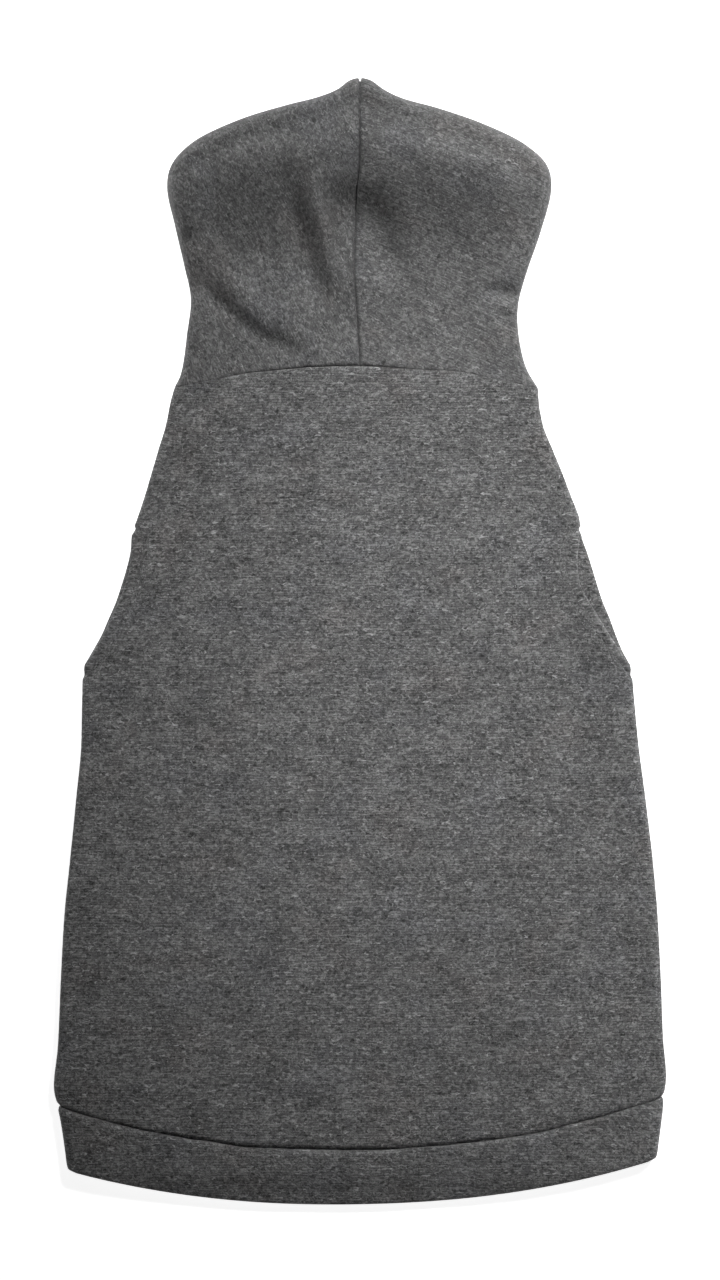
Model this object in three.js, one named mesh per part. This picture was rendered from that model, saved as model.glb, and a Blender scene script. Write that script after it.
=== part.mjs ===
// A sleeveless pull-on hoodie for a cat, laid flat on its belly side with the hood's face opening down.
// Millimetres. +X is to the right seen from above with the hood away, +Y runs towards the hood, +Z is
// up from the surface that it lies on. The origin is the middle of the underside.
// Every piece is one layer of sweatshirt fleece, doubled at the turned hems and in the hem band. It is
// a wall between a grid of points on its outer face and a grid one thickness behind them.
import * as THREE from 'three';

// ---- cloth and seams ---------------------------------------------------------------------------
const CLOTH = 1.8;          // one layer of fleece
const HEM = 3.0;            // two layers pressed together: turned hems and the hem band
const HEM_WIDTH = 7;        // how far a turned hem reaches in from its edge
const SEAM_GAP = 0.3;       // clear distance between two sewn pieces

// ---- heights of the upper layer's outer face ---------------------------------------------------
const SEAM_Z = 2.95;        // the side seams, half way between the two layers
const BODY_TOP = 5.4;       // middle of the back panel
const NECK_TOP = 5.8;       // along the neck seam
const SIDE_TOP = 5.9;       // over the curl at the side seams
const ARMHOLE_TOP = 6.5;    // over the two turned hems of an armhole
const BAND_TOP = 6.4;       // over the two doubled layers of the hem band
const BAND_DROOP = 2.4;     // the upper band sinks so far past the end of the lower band
const SIDE_CURL = 2.8;      // width of the panels' curl at the side seams

// ---- seam lines, in plan -----------------------------------------------------------------------
const NECK_Y = 90.7;        // where the neck seam meets the side seams
const NECK_BOW = 7.9;       // the back neck seam rises so far in its middle
const FRONT_NECK_BOW = -6.3;  // the front neck seam is scooped so far in its middle
const HEM_Y = -165.2;       // where the hem seam meets the side seams, half way between its ends
const HEM_BOW = -17.3;      // the back hem seam dips so far in its middle
const HEM_TILT = 3.6;       // the right end of the hem seam lies so much higher than the left
const BAND_BOW = -14.1;     // bow and tilt of the band's bottom edge
const BAND_TILT = 4.2;
const ARMHOLE_HIGH_Y = 40;  // top and bottom of the armholes
const ARMHOLE_LOW_Y = -12;

// Sections across the body, from the neck seam to the hem seam. left and right are the edges of the
// front panel; inLeft and inRight say how far the back panel's armhole edges lie inside them.
const BODY_SECTIONS = [
  { y: NECK_Y, left: -66.9, right: 64.1, inLeft: 0, inRight: 0 },
  { y: 86, left: -68.2, right: 64.4, inLeft: 0, inRight: 0 },
  { y: 78, left: -69.8, right: 65.8, inLeft: 0, inRight: 0 },
  { y: 69, left: -72.5, right: 69.3, inLeft: 0, inRight: 0 },
  { y: 60.5, left: -75.0, right: 72.8, inLeft: 0, inRight: 0 },
  { y: 52, left: -77.5, right: 76, inLeft: 0, inRight: 0 },
  { y: 44, left: -80.2, right: 79, inLeft: 0, inRight: 0 },
  { y: 41, left: -81.3, right: 79.5, inLeft: 0, inRight: 0 },
  { y: 38, left: -82.0, right: 79.7, inLeft: 0, inRight: 0.6 },
  { y: 32, left: -82.6, right: 81.7, inLeft: 0.3, inRight: 3.4 },
  { y: 26, left: -84.0, right: 83.6, inLeft: 1.3, inRight: 5.4 },
  { y: 20, left: -85.8, right: 85.4, inLeft: 1.4, inRight: 6.2 },
  { y: 14, left: -87.8, right: 87.4, inLeft: 1.0, inRight: 5.0 },
  { y: 8, left: -90.4, right: 89.9, inLeft: 0.8, inRight: 3.9 },
  { y: 2, left: -93.0, right: 92.1, inLeft: 0.7, inRight: 2.4 },
  { y: -4, left: -96.4, right: 94.6, inLeft: 0.5, inRight: 1.0 },
  { y: -9.7, left: -99.3, right: 97.5, inLeft: 0, inRight: 0 },
  { y: -13, left: -99.8, right: 98, inLeft: 0, inRight: 0 },
  { y: -20, left: -100.0, right: 98.6, inLeft: 0, inRight: 0 },
  { y: -36, left: -100.3, right: 100.1, inLeft: 0, inRight: 0 },
  { y: -57, left: -102.2, right: 102.8, inLeft: 0, inRight: 0 },
  { y: -79, left: -104.4, right: 105.4, inLeft: 0, inRight: 0 },
  { y: -100, left: -106.5, right: 107.2, inLeft: 0, inRight: 0 },
  { y: -122, left: -107.7, right: 108.3, inLeft: 0, inRight: 0 },
  { y: -144, left: -108.7, right: 109.1, inLeft: 0, inRight: 0 },
  { y: -158.5, left: -110.2, right: 110.2, inLeft: 0, inRight: 0 },
  { y: HEM_Y, left: -109.0, right: 109.3, inLeft: 0, inRight: 0 },
];

// Sections down the hem band, from its seam to its folded bottom edge, with its side edges.
const BAND_SECTIONS = [
  { y: HEM_Y, left: -109.0, right: 109.3 },
  { y: -169.6, left: -107.9, right: 109 },
  { y: -175.4, left: -106.9, right: 108.3 },
  { y: -181.6, left: -106.0, right: 107.5 },
  { y: -186.6, left: -105.3, right: 106.8 },
  { y: -188.2, left: -104.4, right: 106 },
];

// The hood's outline from the neck seam round the side and along the crown to the tip, by side.
const CROWN_TIP = { x: 0, y: 202.4 };
const HOOD_OUTLINE = {
  left: [
    { x: -66.9, y: NECK_Y }, { x: -64.4, y: 96 }, { x: -62.1, y: 111 }, { x: -60.8, y: 123 },
    { x: -63.2, y: 135 }, { x: -66.4, y: 149 }, { x: -69.2, y: 162.5 }, { x: -67.8, y: 170.5 },
    { x: -60.4, y: 178.6 }, { x: -44.3, y: 186.6 }, { x: -26.5, y: 192.2 }, { x: -15.0, y: 195.2 },
    { x: -8.2, y: 198 }, { x: -3.9, y: 201.2 }, CROWN_TIP,
  ],
  right: [
    { x: 64.1, y: NECK_Y }, { x: 59.7, y: 98.3 }, { x: 56.9, y: 111 }, { x: 56.9, y: 121 },
    { x: 60.1, y: 133 }, { x: 64.6, y: 146 }, { x: 68.7, y: 162.5 }, { x: 67.2, y: 170.5 },
    { x: 59.4, y: 178 }, { x: 44.9, y: 185.2 }, { x: 28.4, y: 191 }, { x: 15.0, y: 194.8 },
    { x: 8.8, y: 197.8 }, { x: 4.1, y: 201.2 }, CROWN_TIP,
  ],
};

// The edge of the face opening, from the middle of the front neck seam to its top on the centre seam.
const FACE_EDGE = [
  { x: 0, y: 84.4 }, { x: 9, y: 92 }, { x: 20, y: 103 }, { x: 28.5, y: 118 }, { x: 31, y: 134 },
  { x: 26.5, y: 150 }, { x: 14.5, y: 161 }, { x: 0, y: 165 },
];
const FACE_TOP_AT = 0.74;   // share of the hood outline where the face opening's top is reached
const UNDER_SEAM_TOP_Y = 186;  // the centre seam's underside ends the last row here

// The roll of the hood's outline: how far in it reaches and half its height, along the outline.
const HOOD_ROLL = [
  { along: 0, reach: SIDE_CURL, half: SEAM_Z },
  { along: 0.22, reach: 3.4, half: 4.4 },
  { along: 0.48, reach: 4.4, half: 7.4 },
  { along: 0.75, reach: 5.2, half: 8.2 },
  { along: 1, reach: 5.2, half: 6.9 },
];

// Height of the hood's upper layer, away from its roll and folds, by distance up the garment.
const HOOD_HEIGHTS = [
  { y: NECK_Y, top: NECK_TOP }, { y: 100, top: 6.1 }, { y: 110, top: 6.9 }, { y: 120, top: 8.3 },
  { y: 130, top: 10.2 }, { y: 142, top: 13 }, { y: 154, top: 16.2 }, { y: 166, top: 19.4 },
  { y: 176, top: 20.6 }, { y: 188, top: 19.3 }, { y: 204, top: 15.2 },
];

// The hood's soft folds: a ridge (rise above 0) or trough along a line, with its half width.
const HOOD_FOLDS = [
  { name: 'hollow at the centre seam', x0: 0, y0: 157, x1: 2, y1: 138, width: 13, rise: -5.2 },
  { name: 'pocket left of the seam', x0: -7, y0: 157, x1: -6, y1: 146, width: 8, rise: -2.4 },
  { name: 'ridge left of the seam', x0: -19, y0: 164, x1: -9, y1: 126, width: 5.2, rise: 3.4 },
  { name: 'trough beside that ridge', x0: -27, y0: 172, x1: -15, y1: 120, width: 5.4, rise: -4.0 },
  { name: 'left hollow', x0: -38, y0: 150, x1: -36, y1: 136, width: 14, rise: -4.2 },
  { name: 'right fold by the seam', x0: 3, y0: 163, x1: 11, y1: 136, width: 7, rise: -2.0 },
  { name: 'right hollow', x0: 32, y0: 150, x1: 35, y1: 132, width: 19, rise: -3.4 },
  { name: 'ridge above the left crease', x0: -60, y0: 140, x1: -20, y1: 107, width: 5.4, rise: 2.6 },
  { name: 'crease from the left neck', x0: -62, y0: 132, x1: -22, y1: 103, width: 4, rise: -1.7 },
];

// The back panel's soft waves, in the same form.
const BODY_FOLDS = [
  { name: 'hollow by the right armhole', x0: 66, y0: 38, x1: 71, y1: 10, width: 10, rise: -1.2 },
  { name: 'swell right of the middle', x0: 34, y0: 24, x1: 36, y1: 2, width: 17, rise: 1.1 },
  { name: 'hollow in the left flank', x0: -62, y0: -60, x1: -54, y1: -140, width: 22, rise: -0.6 },
  { name: 'swell in the right flank', x0: 58, y0: -70, x1: 52, y1: -130, width: 24, rise: 0.6 },
];

// ---- small functions ---------------------------------------------------------------------------
const { PI } = Math;
const mix = THREE.MathUtils.lerp;
const square = (value) => value * value;
const smooth = (value) => THREE.MathUtils.smoothstep(value, 0, 1);
const vec = (x, y, z) => new THREE.Vector3(x, y, z);

// The value of one column of a table at a place between its rows, along the column named by key.
function lookUp(table, key, at, column) {
  const rising = table[table.length - 1][key] > table[0][key];
  let row = 0;
  while (row < table.length - 2 && (rising ? at > table[row + 1][key] : at < table[row + 1][key])) {
    row += 1;
  }
  const low = table[row];
  const high = table[row + 1];
  const share = THREE.MathUtils.clamp((at - low[key]) / (high[key] - low[key]), 0, 1);
  return mix(low[column], high[column], share);
}

// How much a fold lifts or sinks the cloth at a point in plan.
function foldAt(fold, x, y) {
  const along = vec(fold.x1 - fold.x0, fold.y1 - fold.y0, 0);
  const from = vec(x - fold.x0, y - fold.y0, 0);
  const share = THREE.MathUtils.clamp(from.dot(along) / along.lengthSq(), 0, 1);
  const away = from.addScaledVector(along, -share).length();
  return fold.rise * Math.exp(-square(away / fold.width));
}
const foldsAt = (folds, x, y) => folds.reduce((sum, fold) => sum + foldAt(fold, x, y), 0);

// ---- walls of cloth ----------------------------------------------------------------------------
// Outward normals of a grid of points, by the difference of each point's neighbours. facing is 1
// where the columns run to the right of the rows as seen from outside, and -1 where they run left.
function gridNormals(grid, facing, ring) {
  const lastRow = grid.length - 1;
  const count = grid[0].length;
  return grid.map((row, i) => row.map((_, j) => {
    const before = ring ? row[(j + count - 1) % count] : row[Math.max(j - 1, 0)];
    const after = ring ? row[(j + 1) % count] : row[Math.min(j + 1, count - 1)];
    const across = after.clone().sub(before);
    const down = grid[Math.min(i + 1, lastRow)][j].clone().sub(grid[Math.max(i - 1, 0)][j]);
    return down.cross(across).multiplyScalar(facing).normalize();
  }));
}

// The closed wall between an outer grid and an inner grid of the same size. A ring's last column
// joins its first, so it has two rims and an open grid has four. Its quads split the short way.
function wallGeometry(outer, inner, facing, ring) {
  const rows = outer.length;
  const columns = outer[0].length;
  const points = [...outer.flat(), ...inner.flat()];
  const index = [];
  const out = (i, j) => i * columns + (j % columns);
  const into = (i, j) => out(i, j) + rows * columns;
  const quad = (a, b, c, d) => {
    const splitAC = points[a].distanceToSquared(points[c]) < points[b].distanceToSquared(points[d]);
    const corners = splitAC ? [a, b, c, a, c, d] : [a, b, d, b, c, d];
    index.push(...(facing > 0 ? corners : corners.reverse()));
  };
  const spans = ring ? columns : columns - 1;
  for (let i = 0; i < rows - 1; i += 1) {
    for (let j = 0; j < spans; j += 1) {
      quad(out(i, j), out(i + 1, j), out(i + 1, j + 1), out(i, j + 1));
      quad(into(i, j + 1), into(i + 1, j + 1), into(i + 1, j), into(i, j));
    }
  }
  for (let j = 0; j < spans; j += 1) {
    quad(out(0, j + 1), into(0, j + 1), into(0, j), out(0, j));
    quad(out(rows - 1, j), into(rows - 1, j), into(rows - 1, j + 1), out(rows - 1, j + 1));
  }
  for (let i = 0; i < rows - 1 && !ring; i += 1) {
    quad(out(i, 0), into(i, 0), into(i + 1, 0), out(i + 1, 0));
    quad(out(i + 1, spans), into(i + 1, spans), into(i, spans), out(i, spans));
  }
  const geometry = new THREE.BufferGeometry().setFromPoints(points);
  geometry.setIndex(index);
  geometry.computeVertexNormals();
  return geometry;
}

// A wall whose inner face lies thickness(i, j) behind its outer one. On the rims of two sewn pieces
// squareRim(normal, i, j) turns the offset square to the seam, and onSeam(point, i, j) then puts the
// inner point on the seam line.
function clothWall(outer, thickness, { facing = 1, ring = false, squareRim, onSeam }) {
  const normals = gridNormals(outer, facing, ring);
  const inner = outer.map((row, i) => row.map((point, j) => {
    const normal = normals[i][j];
    squareRim(normal, i, j);
    const behind = point.clone().addScaledVector(normal.normalize(), -thickness(i, j));
    onSeam(behind, i, j);
    return behind;
  }));
  return wallGeometry(outer, inner, facing, ring);
}

// 1 where a turned hem doubles the cloth, a distance in from its edge, and 0 past the hem's end.
const HEM_END = 2;          // length over which the doubled cloth thins out, half way at HEM_WIDTH
const turnedAt = (fromEdge) => smooth((HEM_WIDTH - fromEdge) / HEM_END + 0.5);

// ---- the flat body: bows, side edges and heights -----------------------------------------------
const BOW_POWER = 2.2;
const CURL_STEPS = 3;       // spans round a panel's curl
const PANEL_SPANS = 14;     // spans across a panel between its curls
const NECK_BOW_ENDS_Y = 40;
const FRONT_BOW_ENDS_Y = 60;
const HEM_BOW_STARTS_Y = -10;
const HEM_BOW_POWER = 1.7;
const HEM_TILT_STARTS_Y = -110;

const bowShape = (u) => 1 - Math.abs(u) ** BOW_POWER;

function backBowAt(y) {
  if (y > NECK_BOW_ENDS_Y) {
    return NECK_BOW * square((y - NECK_BOW_ENDS_Y) / (NECK_Y - NECK_BOW_ENDS_Y));
  }
  const share = Math.max(0, (HEM_BOW_STARTS_Y - y) / (HEM_BOW_STARTS_Y - HEM_Y));
  return HEM_BOW * share ** HEM_BOW_POWER;
}

function frontBowAt(y) {
  return FRONT_NECK_BOW * square(Math.max(0, y - FRONT_BOW_ENDS_Y) / (NECK_Y - FRONT_BOW_ENDS_Y));
}

const tiltAt = (y) => HEM_TILT * smooth((HEM_TILT_STARTS_Y - y) / (HEM_TILT_STARTS_Y - HEM_Y));

// The y of a point of a section whose middle bows and whose ends tilt.
function bowedY(section, x, bow, tilt) {
  const half = (section.right - section.left) / 2;
  const u = THREE.MathUtils.clamp((x - section.left - half) / half, -1, 1);
  return section.y + bow * bowShape(u) + (tilt / 2) * u;
}

// 1 where the side edges are sewn together, 0 along the armholes.
const sewnAt = (y) => (y > ARMHOLE_HIGH_Y || y < ARMHOLE_LOW_Y ? 1 : 0);

const NECK_SECTION = BODY_SECTIONS[0];
const HEM_SECTION = BODY_SECTIONS[BODY_SECTIONS.length - 1];
const backNeckY = (x) => bowedY(NECK_SECTION, x, NECK_BOW, 0);
const frontNeckY = (x) => bowedY(NECK_SECTION, x, FRONT_NECK_BOW, 0);
const backHemY = (x) => bowedY(HEM_SECTION, x, HEM_BOW, HEM_TILT);
const frontHemY = (x) => bowedY(HEM_SECTION, x, 0, HEM_TILT);

const SEAM_RISE_WIDTH = 10;   // the rise over the side seams dies out over about this distance
const ARMHOLE_RISE_WIDTH = 16;  // and the rise over the armholes' hems over this one
const NECK_RISE_WIDTH = 22;
const HEM_RISE_WIDTH = 20;
const HEM_TOP = 5.9;

// Height of the back panel's outer face, a distance in from its side edge.
function bodyTop(x, y, fromEdge, sewn) {
  const neck = Math.exp(-square((y - backNeckY(x)) / NECK_RISE_WIDTH));
  const hem = Math.exp(-square((y - backHemY(x)) / HEM_RISE_WIDTH));
  const middle = BODY_TOP + (NECK_TOP - BODY_TOP) * neck + (HEM_TOP - BODY_TOP) * hem;
  const calm = (1 - neck) * (1 - hem);
  const edge = mix(ARMHOLE_TOP, SIDE_TOP, sewn);
  const nearEdge = Math.exp(-square(fromEdge / mix(ARMHOLE_RISE_WIDTH, SEAM_RISE_WIDTH, sewn)));
  return mix(middle + foldsAt(BODY_FOLDS, x, y) * calm, edge, nearEdge);
}

// ---- front and back panels ---------------------------------------------------------------------
// The points across one panel section, from the left edge to the right: a curl, the flat, a curl.
function panelColumns(left, right, sewn) {
  const curlLength = (SIDE_CURL * PI) / 2;
  const columns = [];
  for (let step = 0; step <= CURL_STEPS; step += 1) {
    const share = step / CURL_STEPS;
    const angle = (share * PI) / 2;
    const inward = mix(curlLength * share, SIDE_CURL * (1 - Math.cos(angle)), sewn);
    columns.push({ inward, flat: mix(1, Math.sin(angle), sewn) });
  }
  const reach = columns[CURL_STEPS].inward;
  const fromLeft = columns.map(({ inward, flat }) => ({ x: left + inward, inward, flat }));
  const fromRight = columns.map(({ inward, flat }) => ({ x: right - inward, inward, flat })).reverse();
  const middle = [];
  for (let span = 1; span < PANEL_SPANS; span += 1) {
    const x = mix(left + reach, right - reach, span / PANEL_SPANS);
    middle.push({ x, inward: Math.min(x - left, right - x), flat: 1 });
  }
  return [...fromLeft, ...middle, ...fromRight];
}

// The outer grid of the back panel (upper) or the front panel (lower), a row for each section.
function panelGrid(upper) {
  return BODY_SECTIONS.map((section) => {
    const sewn = sewnAt(section.y);
    const left = section.left + (upper ? section.inLeft : 0);
    const right = section.right - (upper ? section.inRight : 0);
    const bow = upper ? backBowAt(section.y) : frontBowAt(section.y);
    return panelColumns(left, right, sewn).map(({ x, inward, flat }) => {
      const y = bowedY({ y: section.y, left, right }, x, bow, tiltAt(section.y));
      const seam = SEAM_Z + (upper ? SEAM_GAP : -SEAM_GAP) / 2;
      const layer = upper ? bodyTop(x, y, inward, sewn) : 0;
      return vec(x, y, mix(seam, layer, flat));
    });
  });
}

function panelWall(upper) {
  const grid = panelGrid(upper);
  const lastRow = grid.length - 1;
  const lastColumn = grid[0].length - 1;
  const thickness = (i, j) => {
    const row = grid[i];
    const fromEdge = Math.min(row[j].x - row[0].x, row[lastColumn].x - row[j].x);
    const turned = turnedAt(fromEdge) * (1 - sewnAt(BODY_SECTIONS[i].y));
    return mix(CLOTH, HEM, turned);
  };
  const squareRim = (normal, i, j) => {
    if (i === 0 || i === lastRow) {
      normal.setY(0);
    }
    if ((j === 0 || j === lastColumn) && sewnAt(BODY_SECTIONS[i].y) === 1) {
      normal.setZ(0);
    }
  };
  const onSeam = (point, i) => {
    if (i === 0) {
      point.setY(upper ? backNeckY(point.x) : frontNeckY(point.x));
    } else if (i === lastRow) {
      point.setY(upper ? backHemY(point.x) : frontHemY(point.x));
    }
  };
  return clothWall(grid, thickness, { facing: upper ? 1 : -1, squareRim, onSeam });
}

// ---- hem band ----------------------------------------------------------------------------------
const FOLD_STEPS = 6;       // spans round a folded edge
const BAND_ROLL = BAND_TOP / 2;
const LOWEST_BACK_ANGLE = -0.6;  // a fold's seam rim follows the back seam line down to this angle
const followsBack = (angle) => angle > LOWEST_BACK_ANGLE;
const DROOP_STARTS_Y = -190;
const DROOP_LENGTH = 12;

// The columns of the band's ring: the upper layer from left to right, the right fold, the lower layer
// back to the left and the left fold. side and angle place a column on a fold.
function bandColumns() {
  const columns = [];
  for (let span = 0; span < PANEL_SPANS; span += 1) {
    columns.push({ share: span / PANEL_SPANS, side: 0, upper: true });
  }
  for (let step = 0; step < FOLD_STEPS; step += 1) {
    const angle = PI / 2 - (PI * step) / FOLD_STEPS;
    columns.push({ side: 1, angle, upper: followsBack(angle) });
  }
  for (let span = 0; span < PANEL_SPANS; span += 1) {
    columns.push({ share: 1 - span / PANEL_SPANS, side: 0, upper: false });
  }
  for (let step = 0; step < FOLD_STEPS; step += 1) {
    const angle = (PI * step) / FOLD_STEPS - PI / 2;
    columns.push({ side: -1, angle, upper: followsBack(angle) });
  }
  return columns;
}

// One section of the band's ring.
function bandRing(section, columns) {
  const share = (HEM_Y - section.y) / (HEM_Y - BAND_SECTIONS[BAND_SECTIONS.length - 1].y);
  const tilt = mix(HEM_TILT, BAND_TILT, share);
  const gap = SEAM_GAP * (1 - share);
  const bow = mix(HEM_BOW, BAND_BOW, share);
  const left = section.left + BAND_ROLL;
  const right = section.right - BAND_ROLL;
  return columns.map((column) => {
    const start = column.side > 0 ? right : left;
    const x = column.side === 0
      ? mix(left, right, column.share)
      : start + column.side * BAND_ROLL * Math.cos(column.angle);
    const y = bowedY(section, x, column.upper ? bow : 0, tilt) - gap;
    if (column.side !== 0) {
      return vec(x, y, BAND_ROLL * (1 + Math.sin(column.angle)));
    }
    const droop = BAND_DROOP * smooth((DROOP_STARTS_Y - y) / DROOP_LENGTH);
    return vec(x, y, column.upper ? BAND_TOP - droop : 0);
  });
}

function bandWall() {
  const columns = bandColumns();
  const grid = BAND_SECTIONS.map((section) => bandRing(section, columns));
  const squareRim = (normal, i) => {
    if (i === 0 || i === grid.length - 1) {
      normal.setY(0);
    }
  };
  const onSeam = (point, i, j) => {
    if (i === 0) {
      point.setY((columns[j].upper ? backHemY(point.x) : frontHemY(point.x)) - SEAM_GAP);
    }
  };
  return clothWall(grid, () => HEM, { ring: true, squareRim, onSeam });
}

// ---- hood halves -------------------------------------------------------------------------------
const HOOD_ROWS = 17;       // spans from the neck seam to the crown
const UPPER_SPANS = 12;     // spans from the centre seam to the roll
const LOWER_SPANS = 6;      // spans from the roll to the face edge
const NECK_EASE = 0.16;     // share of the outline over which the neck's curve dies out
const ROLL_EASE = 9;        // distance over which the roll's height gives way to the folds
const TIP_EASE = 0.08;
const SEAM_ROW_TOP_Y = 178; // the centre seam's upper column ends here, its last row goes on

// The centre seam strays to the left half way up the hood.
const SEAM_STRAY = -2.1;
const STRAY_MIDDLE_Y = 138;
const STRAY_WIDTH = 26;
const seamX = (y) => SEAM_STRAY * Math.exp(-square((y - STRAY_MIDDLE_Y) / STRAY_WIDTH));

const hoodField = (x, y) => lookUp(HOOD_HEIGHTS, 'y', y, 'top') + foldsAt(HOOD_FOLDS, x, y);

// Place of the outline, its outward direction and its roll for a row of one half of the hood.
function hoodEdge(curve, side, along) {
  const place = curve.getPointAt(along);
  const tangent = curve.getTangentAt(along);
  const outward = vec(side * tangent.y, -side * tangent.x, 0);
  outward.lerp(vec(0, 1, 0), smooth((along - 1 + TIP_EASE) / TIP_EASE)).normalize();
  const reach = lookUp(HOOD_ROLL, 'along', along, 'reach');
  const half = lookUp(HOOD_ROLL, 'along', along, 'half');
  return { place, outward, reach, half };
}

// Where a row ends on the lower layer: on the face edge, or above it on the centre seam.
function rowEnd(faceCurve, side, along) {
  const beside = (side * SEAM_GAP) / 2;
  if (along >= FACE_TOP_AT) {
    const share = (along - FACE_TOP_AT) / (1 - FACE_TOP_AT);
    return vec(beside, mix(FACE_EDGE[FACE_EDGE.length - 1].y, UNDER_SEAM_TOP_Y, share), 0);
  }
  const point = faceCurve.getPointAt(along / FACE_TOP_AT);
  return vec(side * Math.max(point.x, SEAM_GAP / 2), point.y, 0);
}

// The columns of a hood row, each with its layer and its share of the way across that layer.
function hoodColumns() {
  const columns = [];
  for (let span = 0; span < UPPER_SPANS; span += 1) {
    columns.push({ layer: 'upper', share: span / UPPER_SPANS, back: true });
  }
  for (let step = 0; step < FOLD_STEPS; step += 1) {
    const angle = PI / 2 - (PI * step) / FOLD_STEPS;
    columns.push({ layer: 'roll', angle, back: followsBack(angle) });
  }
  for (let span = 0; span <= LOWER_SPANS; span += 1) {
    columns.push({ layer: 'lower', share: span / LOWER_SPANS, back: false });
  }
  return columns;
}

function hoodPoint(column, start, edge, end) {
  const rollStart = edge.place.clone().addScaledVector(edge.outward, -edge.reach);
  if (column.layer === 'upper') {
    const point = start.clone().lerp(rollStart, column.share);
    const nearRoll = Math.exp(-square(point.distanceTo(rollStart) / ROLL_EASE));
    return point.setZ(mix(hoodField(point.x, point.y), 2 * edge.half, nearRoll));
  }
  if (column.layer === 'roll') {
    const point = rollStart.addScaledVector(edge.outward, edge.reach * Math.cos(column.angle));
    return point.setZ(edge.half * (1 + Math.sin(column.angle)));
  }
  return rollStart.lerp(end, column.share);
}

// The first row of a hood half, which follows the neck seam round the front and back panels.
function neckPoint(column, side) {
  const edgeX = side > 0 ? NECK_SECTION.right : NECK_SECTION.left;
  const rollX = edgeX - side * SIDE_CURL;
  if (column.layer === 'upper') {
    const x = mix(seamX(NECK_Y) + (side * SEAM_GAP) / 2, rollX, column.share);
    const y = backNeckY(x);
    return vec(x, y + SEAM_GAP, bodyTop(x, y, Math.abs(edgeX - x), 1));
  }
  if (column.layer === 'roll') {
    const x = rollX + side * SIDE_CURL * Math.cos(column.angle);
    const y = column.back ? backNeckY(x) : frontNeckY(x);
    return vec(x, y + SEAM_GAP, SEAM_Z * (1 + Math.sin(column.angle)));
  }
  const x = mix(rollX, (side * SEAM_GAP) / 2, column.share);
  return vec(x, frontNeckY(x) + SEAM_GAP, 0);
}

function hoodGrid(side, columns) {
  const outline = HOOD_OUTLINE[side > 0 ? 'right' : 'left'].map(({ x, y }) => vec(x, y, 0));
  outline[outline.length - 1].x = (side * SEAM_GAP) / 2;
  const outlineCurve = new THREE.CatmullRomCurve3(outline, false, 'centripetal');
  const faceCurve = new THREE.CatmullRomCurve3(FACE_EDGE.map(({ x, y }) => vec(x, y, 0)));
  const rowAt = (along) => {
    const startY = mix(backNeckY(0), SEAM_ROW_TOP_Y, along);
    const start = vec(seamX(startY) + (side * SEAM_GAP) / 2, startY, 0);
    const edge = hoodEdge(outlineCurve, side, along);
    const end = rowEnd(faceCurve, side, along);
    return columns.map((column) => hoodPoint(column, start, edge, end));
  };
  const plainFirst = rowAt(0);
  const grid = [];
  for (let i = 0; i <= HOOD_ROWS; i += 1) {
    const along = i / HOOD_ROWS;
    const neckShare = 1 - smooth(along / NECK_EASE);
    grid.push(rowAt(along).map((point, j) => {
      const shift = neckPoint(columns[j], side).sub(plainFirst[j]);
      return point.addScaledVector(shift, neckShare);
    }));
  }
  return grid;
}

function hoodWall(side) {
  const columns = hoodColumns();
  const grid = hoodGrid(side, columns);
  const lastColumn = grid[0].length - 1;
  const faceRow = Math.floor(FACE_TOP_AT * HOOD_ROWS);
  const thickness = (i, j) => {
    const fromEdge = grid[i][j].distanceTo(grid[i][lastColumn]);
    const turned = i <= faceRow && j > lastColumn - LOWER_SPANS;
    return mix(CLOTH, HEM, turned ? turnedAt(fromEdge) : 0);
  };
  const squareRim = (normal, i, j) => {
    if (i === 0) {
      normal.setY(0);
    }
    if (j === 0 || i === HOOD_ROWS || (j === lastColumn && i > faceRow)) {
      normal.setX(0);
    }
    if (j === 0 && i === HOOD_ROWS) {
      normal.set(0, 0, 1);  // the seam runs straight through the grid's corner here
    }
  };
  const onSeam = (point, i, j) => {
    if (i === 0) {
      point.setY((columns[j].back ? backNeckY(point.x) : frontNeckY(point.x)) + SEAM_GAP);
    }
    if (j === 0) {
      point.setX(seamX(point.y) + (side * SEAM_GAP) / 2);
    }
  };
  return clothWall(grid, thickness, { facing: -side, squareRim, onSeam });
}

// ---- the garment -------------------------------------------------------------------------------
const fleece = (color) => new THREE.MeshStandardMaterial({ color, roughness: 0.95, metalness: 0 });

const PIECES = [
  { name: 'front_panel', geometry: panelWall(false), color: 0x545456 },
  { name: 'back_panel', geometry: panelWall(true), color: 0x646466 },
  { name: 'hem_band', geometry: bandWall(), color: 0x4e4e50 },
  { name: 'hood_left', geometry: hoodWall(-1), color: 0x5c5c5e },
  { name: 'hood_right', geometry: hoodWall(1), color: 0x606062 },
];

const hoodie = new THREE.Group();
for (const { name, geometry, color } of PIECES) {
  const mesh = new THREE.Mesh(geometry, fleece(color));
  mesh.name = name;
  hoodie.add(mesh);
}

export default hoodie;
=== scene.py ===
"""A cat's sleeveless hoodie, laid flat on its belly side with the hood's face opening down.

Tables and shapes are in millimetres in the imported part's frame (+X right, +Y towards the hood, +Z
up from the surface), and every mesh is turned to metres as it is made. Each cut piece is one closed
shell of fleece: a grid on its outer face, a grid one cloth thickness behind it, and a rim between
the two.
"""
import logging
import math
from dataclasses import dataclass, field
from enum import Enum

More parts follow.
